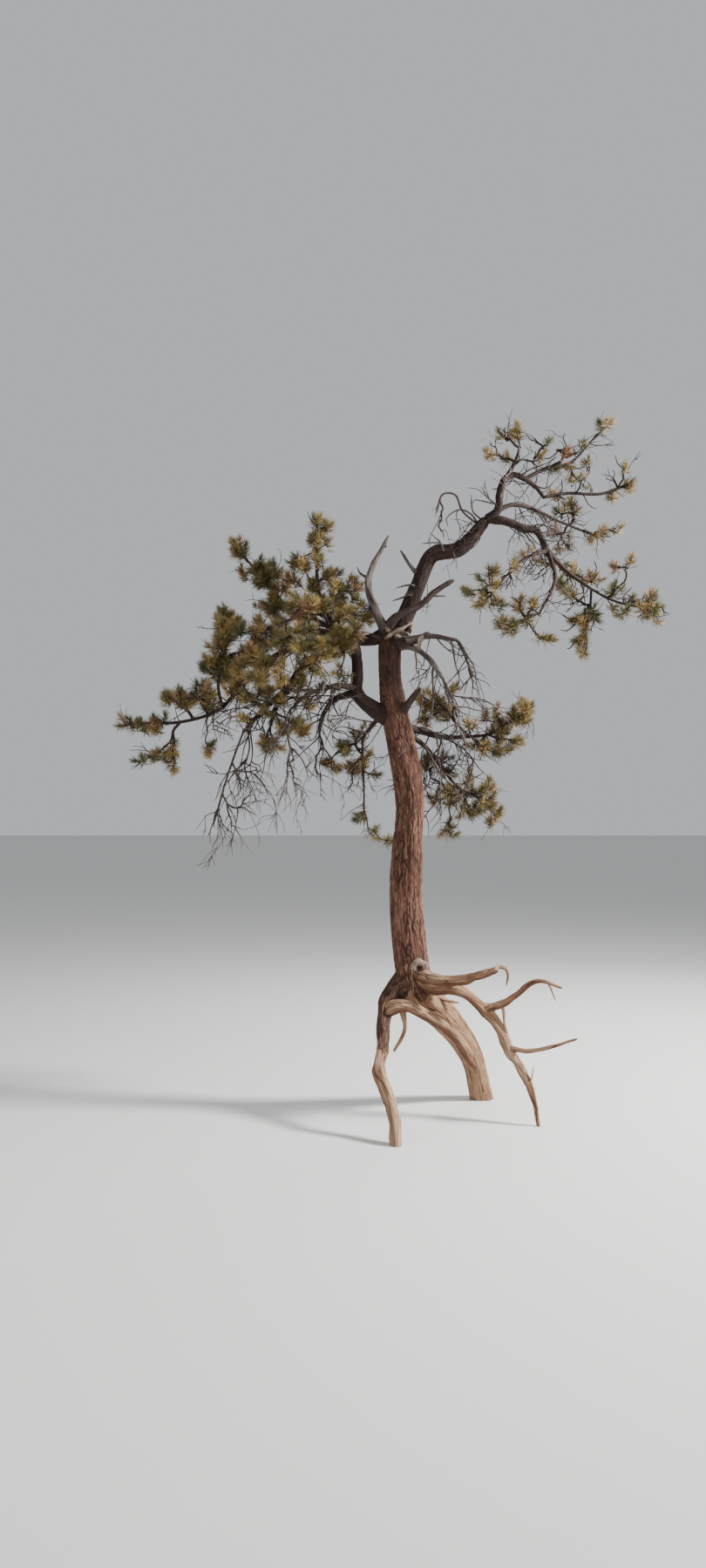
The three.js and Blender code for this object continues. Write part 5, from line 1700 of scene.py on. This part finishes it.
def noise_value(tree, place, scale, detail, along):
    mapping = new_node(tree, "ShaderNodeMapping", {"Scale": (1, 1, along)}, {"Vector": place})
    links = {"Vector": mapping.outputs["Vector"]}
    return new_node(tree, "ShaderNodeTexNoise", {"Scale": scale, "Detail": detail}, links).outputs["Fac"]


def stretched(tree, value, low, high):
    values = {"From Min": low, "From Max": high}
    return new_node(tree, "ShaderNodeMapRange", values, {"Value": value}).outputs["Result"]


def pattern(tree, place, scale, detail, along, low, high):
    return stretched(tree, noise_value(tree, place, scale, detail, along), low, high)


def mixed(tree, factor, first, second):
    """The first colour where the factor is 0, the second where it is 1."""
    node = tree.nodes.new("ShaderNodeMix")
    node.data_type = "RGBA"
    tree.links.new(factor, node.inputs["Factor"])
    sockets = [socket for socket in node.inputs if socket.type == "RGBA"]
    for socket, colour in zip(sockets, (first, second)):
        if isinstance(colour, tuple):
            socket.default_value = (*screen(colour), 1)
        else:
            tree.links.new(colour, socket)
    return next(socket for socket in node.outputs if socket.type == "RGBA")


def add_bump(tree, shader, height, strength, distance):
    node = new_node(tree, "ShaderNodeBump", {"Strength": strength, "Distance": distance}, {"Height": height})
    tree.links.new(node.outputs["Normal"], shader.inputs["Normal"])


def bark_colour(tree, surface, ridges, groove, stain, tones):
    """Plates, each with its own tint, scales and patches, darkened where stained and by painted shade on the
    underside, between dark fissures that hold painted shade.
    """
    tint = stretched(tree, attribute_value(tree, "tint"), *TINT_SHADE)
    plates = mixed(tree, tint, tones["plate_dark"], tones["plate_light"])
    plates = mixed(tree, pattern(tree, surface, *SCALES), plates, tones["plate_scale"])
    plates = mixed(tree, pattern(tree, surface, *PATCHES), plates, tones["plate_dark"])
    # Fissure colour in the hollows of the ridges and in the grooves: the fissures' own dark and painted
    # shade
    plates = mixed(tree, stretched(tree, ridges, *RIDGE_SHADE), tones["fissure"], plates)
    # Stained bark, with painted shade on the underside
    plates = mixed(tree, stretched(tree, stain, *STAIN_SHADE), plates, tones["bark_stain_and_shade"])
    return mixed(tree, stretched(tree, groove, *FISSURE_SHADE), plates, tones["fissure"])


def wood_material(name, tones):
    """Grained, stained wood, under bark plates and fissures where there is bark."""
    material, tree, shader = new_material(name, *WOOD_SHINE)
    surface = attribute_value(tree, "surface", "Vector")
    groove = attribute_value(tree, "groove")
    stain = attribute_value(tree, "stain")
    relief = pattern(tree, surface, *GRAIN)
    colour = mixed(tree, pattern(tree, surface, *CLOUDS), tones["wood_light"], tones["wood_dark"])
    # Stain, with painted shade on the underside
    colour = mixed(tree, stain, colour, tones["stain"])
    colour = mixed(tree, stretched(tree, relief, *GRAIN_SHADE), tones["grain"], colour)
    # Grain colour in furrows and splits: darker wood and painted shade in them
    colour = mixed(tree, stretched(tree, groove, *SPLIT_SHADE), colour, tones["grain"])
    if "fissure" in tones:
        bare = attribute_value(tree, "bare")
        ridges = pattern(tree, surface, *RIDGES)
        colour = mixed(tree, bare, bark_colour(tree, surface, ridges, groove, stain, tones), colour)
        relief = mixed(tree, bare, ridges, relief)
    tree.links.new(colour, shader.inputs["Base Color"])
    add_bump(tree, shader, relief, *WOOD_BUMP)
    return material


def twig_material(name, dark, light, scale):
    material, tree, shader = new_material(name, *TWIG_SHINE)
    place = tree.nodes.new("ShaderNodeTexCoord").outputs["Object"]
    patches = pattern(tree, place, scale, *TWIG_PATCHES)
    tree.links.new(mixed(tree, patches, dark, light), shader.inputs["Base Color"])
    add_bump(tree, shader, noise_value(tree, place, *TWIG_RELIEF), *TWIG_BUMP)
    return material


def needle_material(name, dark, light):
    """Each needle takes its own shade between two."""
    material, tree, shader = new_material(name, *NEEDLE_SHINE)
    shade = tree.nodes.new("ShaderNodeNewGeometry").outputs["Random Per Island"]
    tree.links.new(mixed(tree, shade, dark, light), shader.inputs["Base Color"])
    return material


# Scene
def add_camera():
    data = bpy.data.cameras.new("camera")
    data.lens = CAMERA_LENS
    data.sensor_width = CAMERA_SENSOR
    camera = place_object("camera", data, CAMERA_PLACE)
    camera.rotation_euler = (math.radians(90 + CAMERA_PITCH), 0, 0)
    bpy.context.scene.camera = camera


def add_light(name, place, target, size, power):
    data = bpy.data.lights.new(name, "AREA")
    data.shape = "DISK"
    data.size = size
    data.energy = power
    light = place_object(name, data, place)
    light.rotation_euler = (Vector(target) - Vector(place)).to_track_quat("-Z", "Y").to_euler()


def add_sky():
    world = bpy.data.worlds.new("studio")
    world.use_nodes = True
    sky = world.node_tree.nodes["Background"]
    sky.inputs["Color"].default_value = (*SKY_COLOUR, 1)
    sky.inputs["Strength"].default_value = SKY_STRENGTH
    bpy.context.scene.world = world


def add_floor():
    half = FLOOR_HALF
    mesh = bpy.data.meshes.new("floor")
    corners = [(-half, -half, 0), (half, -half, 0), (half, half, 0), (-half, half, 0)]
    mesh.from_pydata(corners, [], [(0, 1, 2, 3)])
    material, _, shader = new_material("floor", *FLOOR_SHINE)
    shader.inputs["Base Color"].default_value = (*FLOOR_COLOUR, 1)
    mesh.materials.append(material)
    floor = place_object("floor", mesh, (0, 0, -FLOOR_DROP))


def build_crowns(sampled):
    growths = [grow_mass(mass, number, sampled) for number, mass in enumerate(MASSES)]
    crowns = {region: Crown(region) for region in REGIONS}
    for growth in growths:
        crowns[growth.mass.region].thicken(growth)
    for growth in growths:
        crowns[growth.mass.region].dress(growth)
    limbs = {limb.name: limb for limb in LIMBS}
    for crown in crowns.values():
        for name, row in crown.habit["hanging"].items():
            crown.hang_twigs(limbs[name], *row)
    for crown in crowns.values():
        add_twigs(crown)
        add_needles(crown)


add_camera()
add_sky()
add_floor()
for light_name, light_row in LIGHTS.items():
    add_light(light_name, *light_row)
NEEDLE_MATERIALS = {
    name: needle_material(f"needles_{name}", *shades) for name, shades in NEEDLE_SHADES.items()
}
TWIG_MATERIALS = {name: twig_material(f"twigs_{name}", *shades) for name, shades in TWIG_SHADES.items()}
WOOD_MATERIALS = {name: wood_material(f"wood_{name}", tones) for name, tones in WOOD_TONES.items()}
limb_samples = stand_limbs()
add_limbs(limb_samples)
build_crowns(limb_samples)
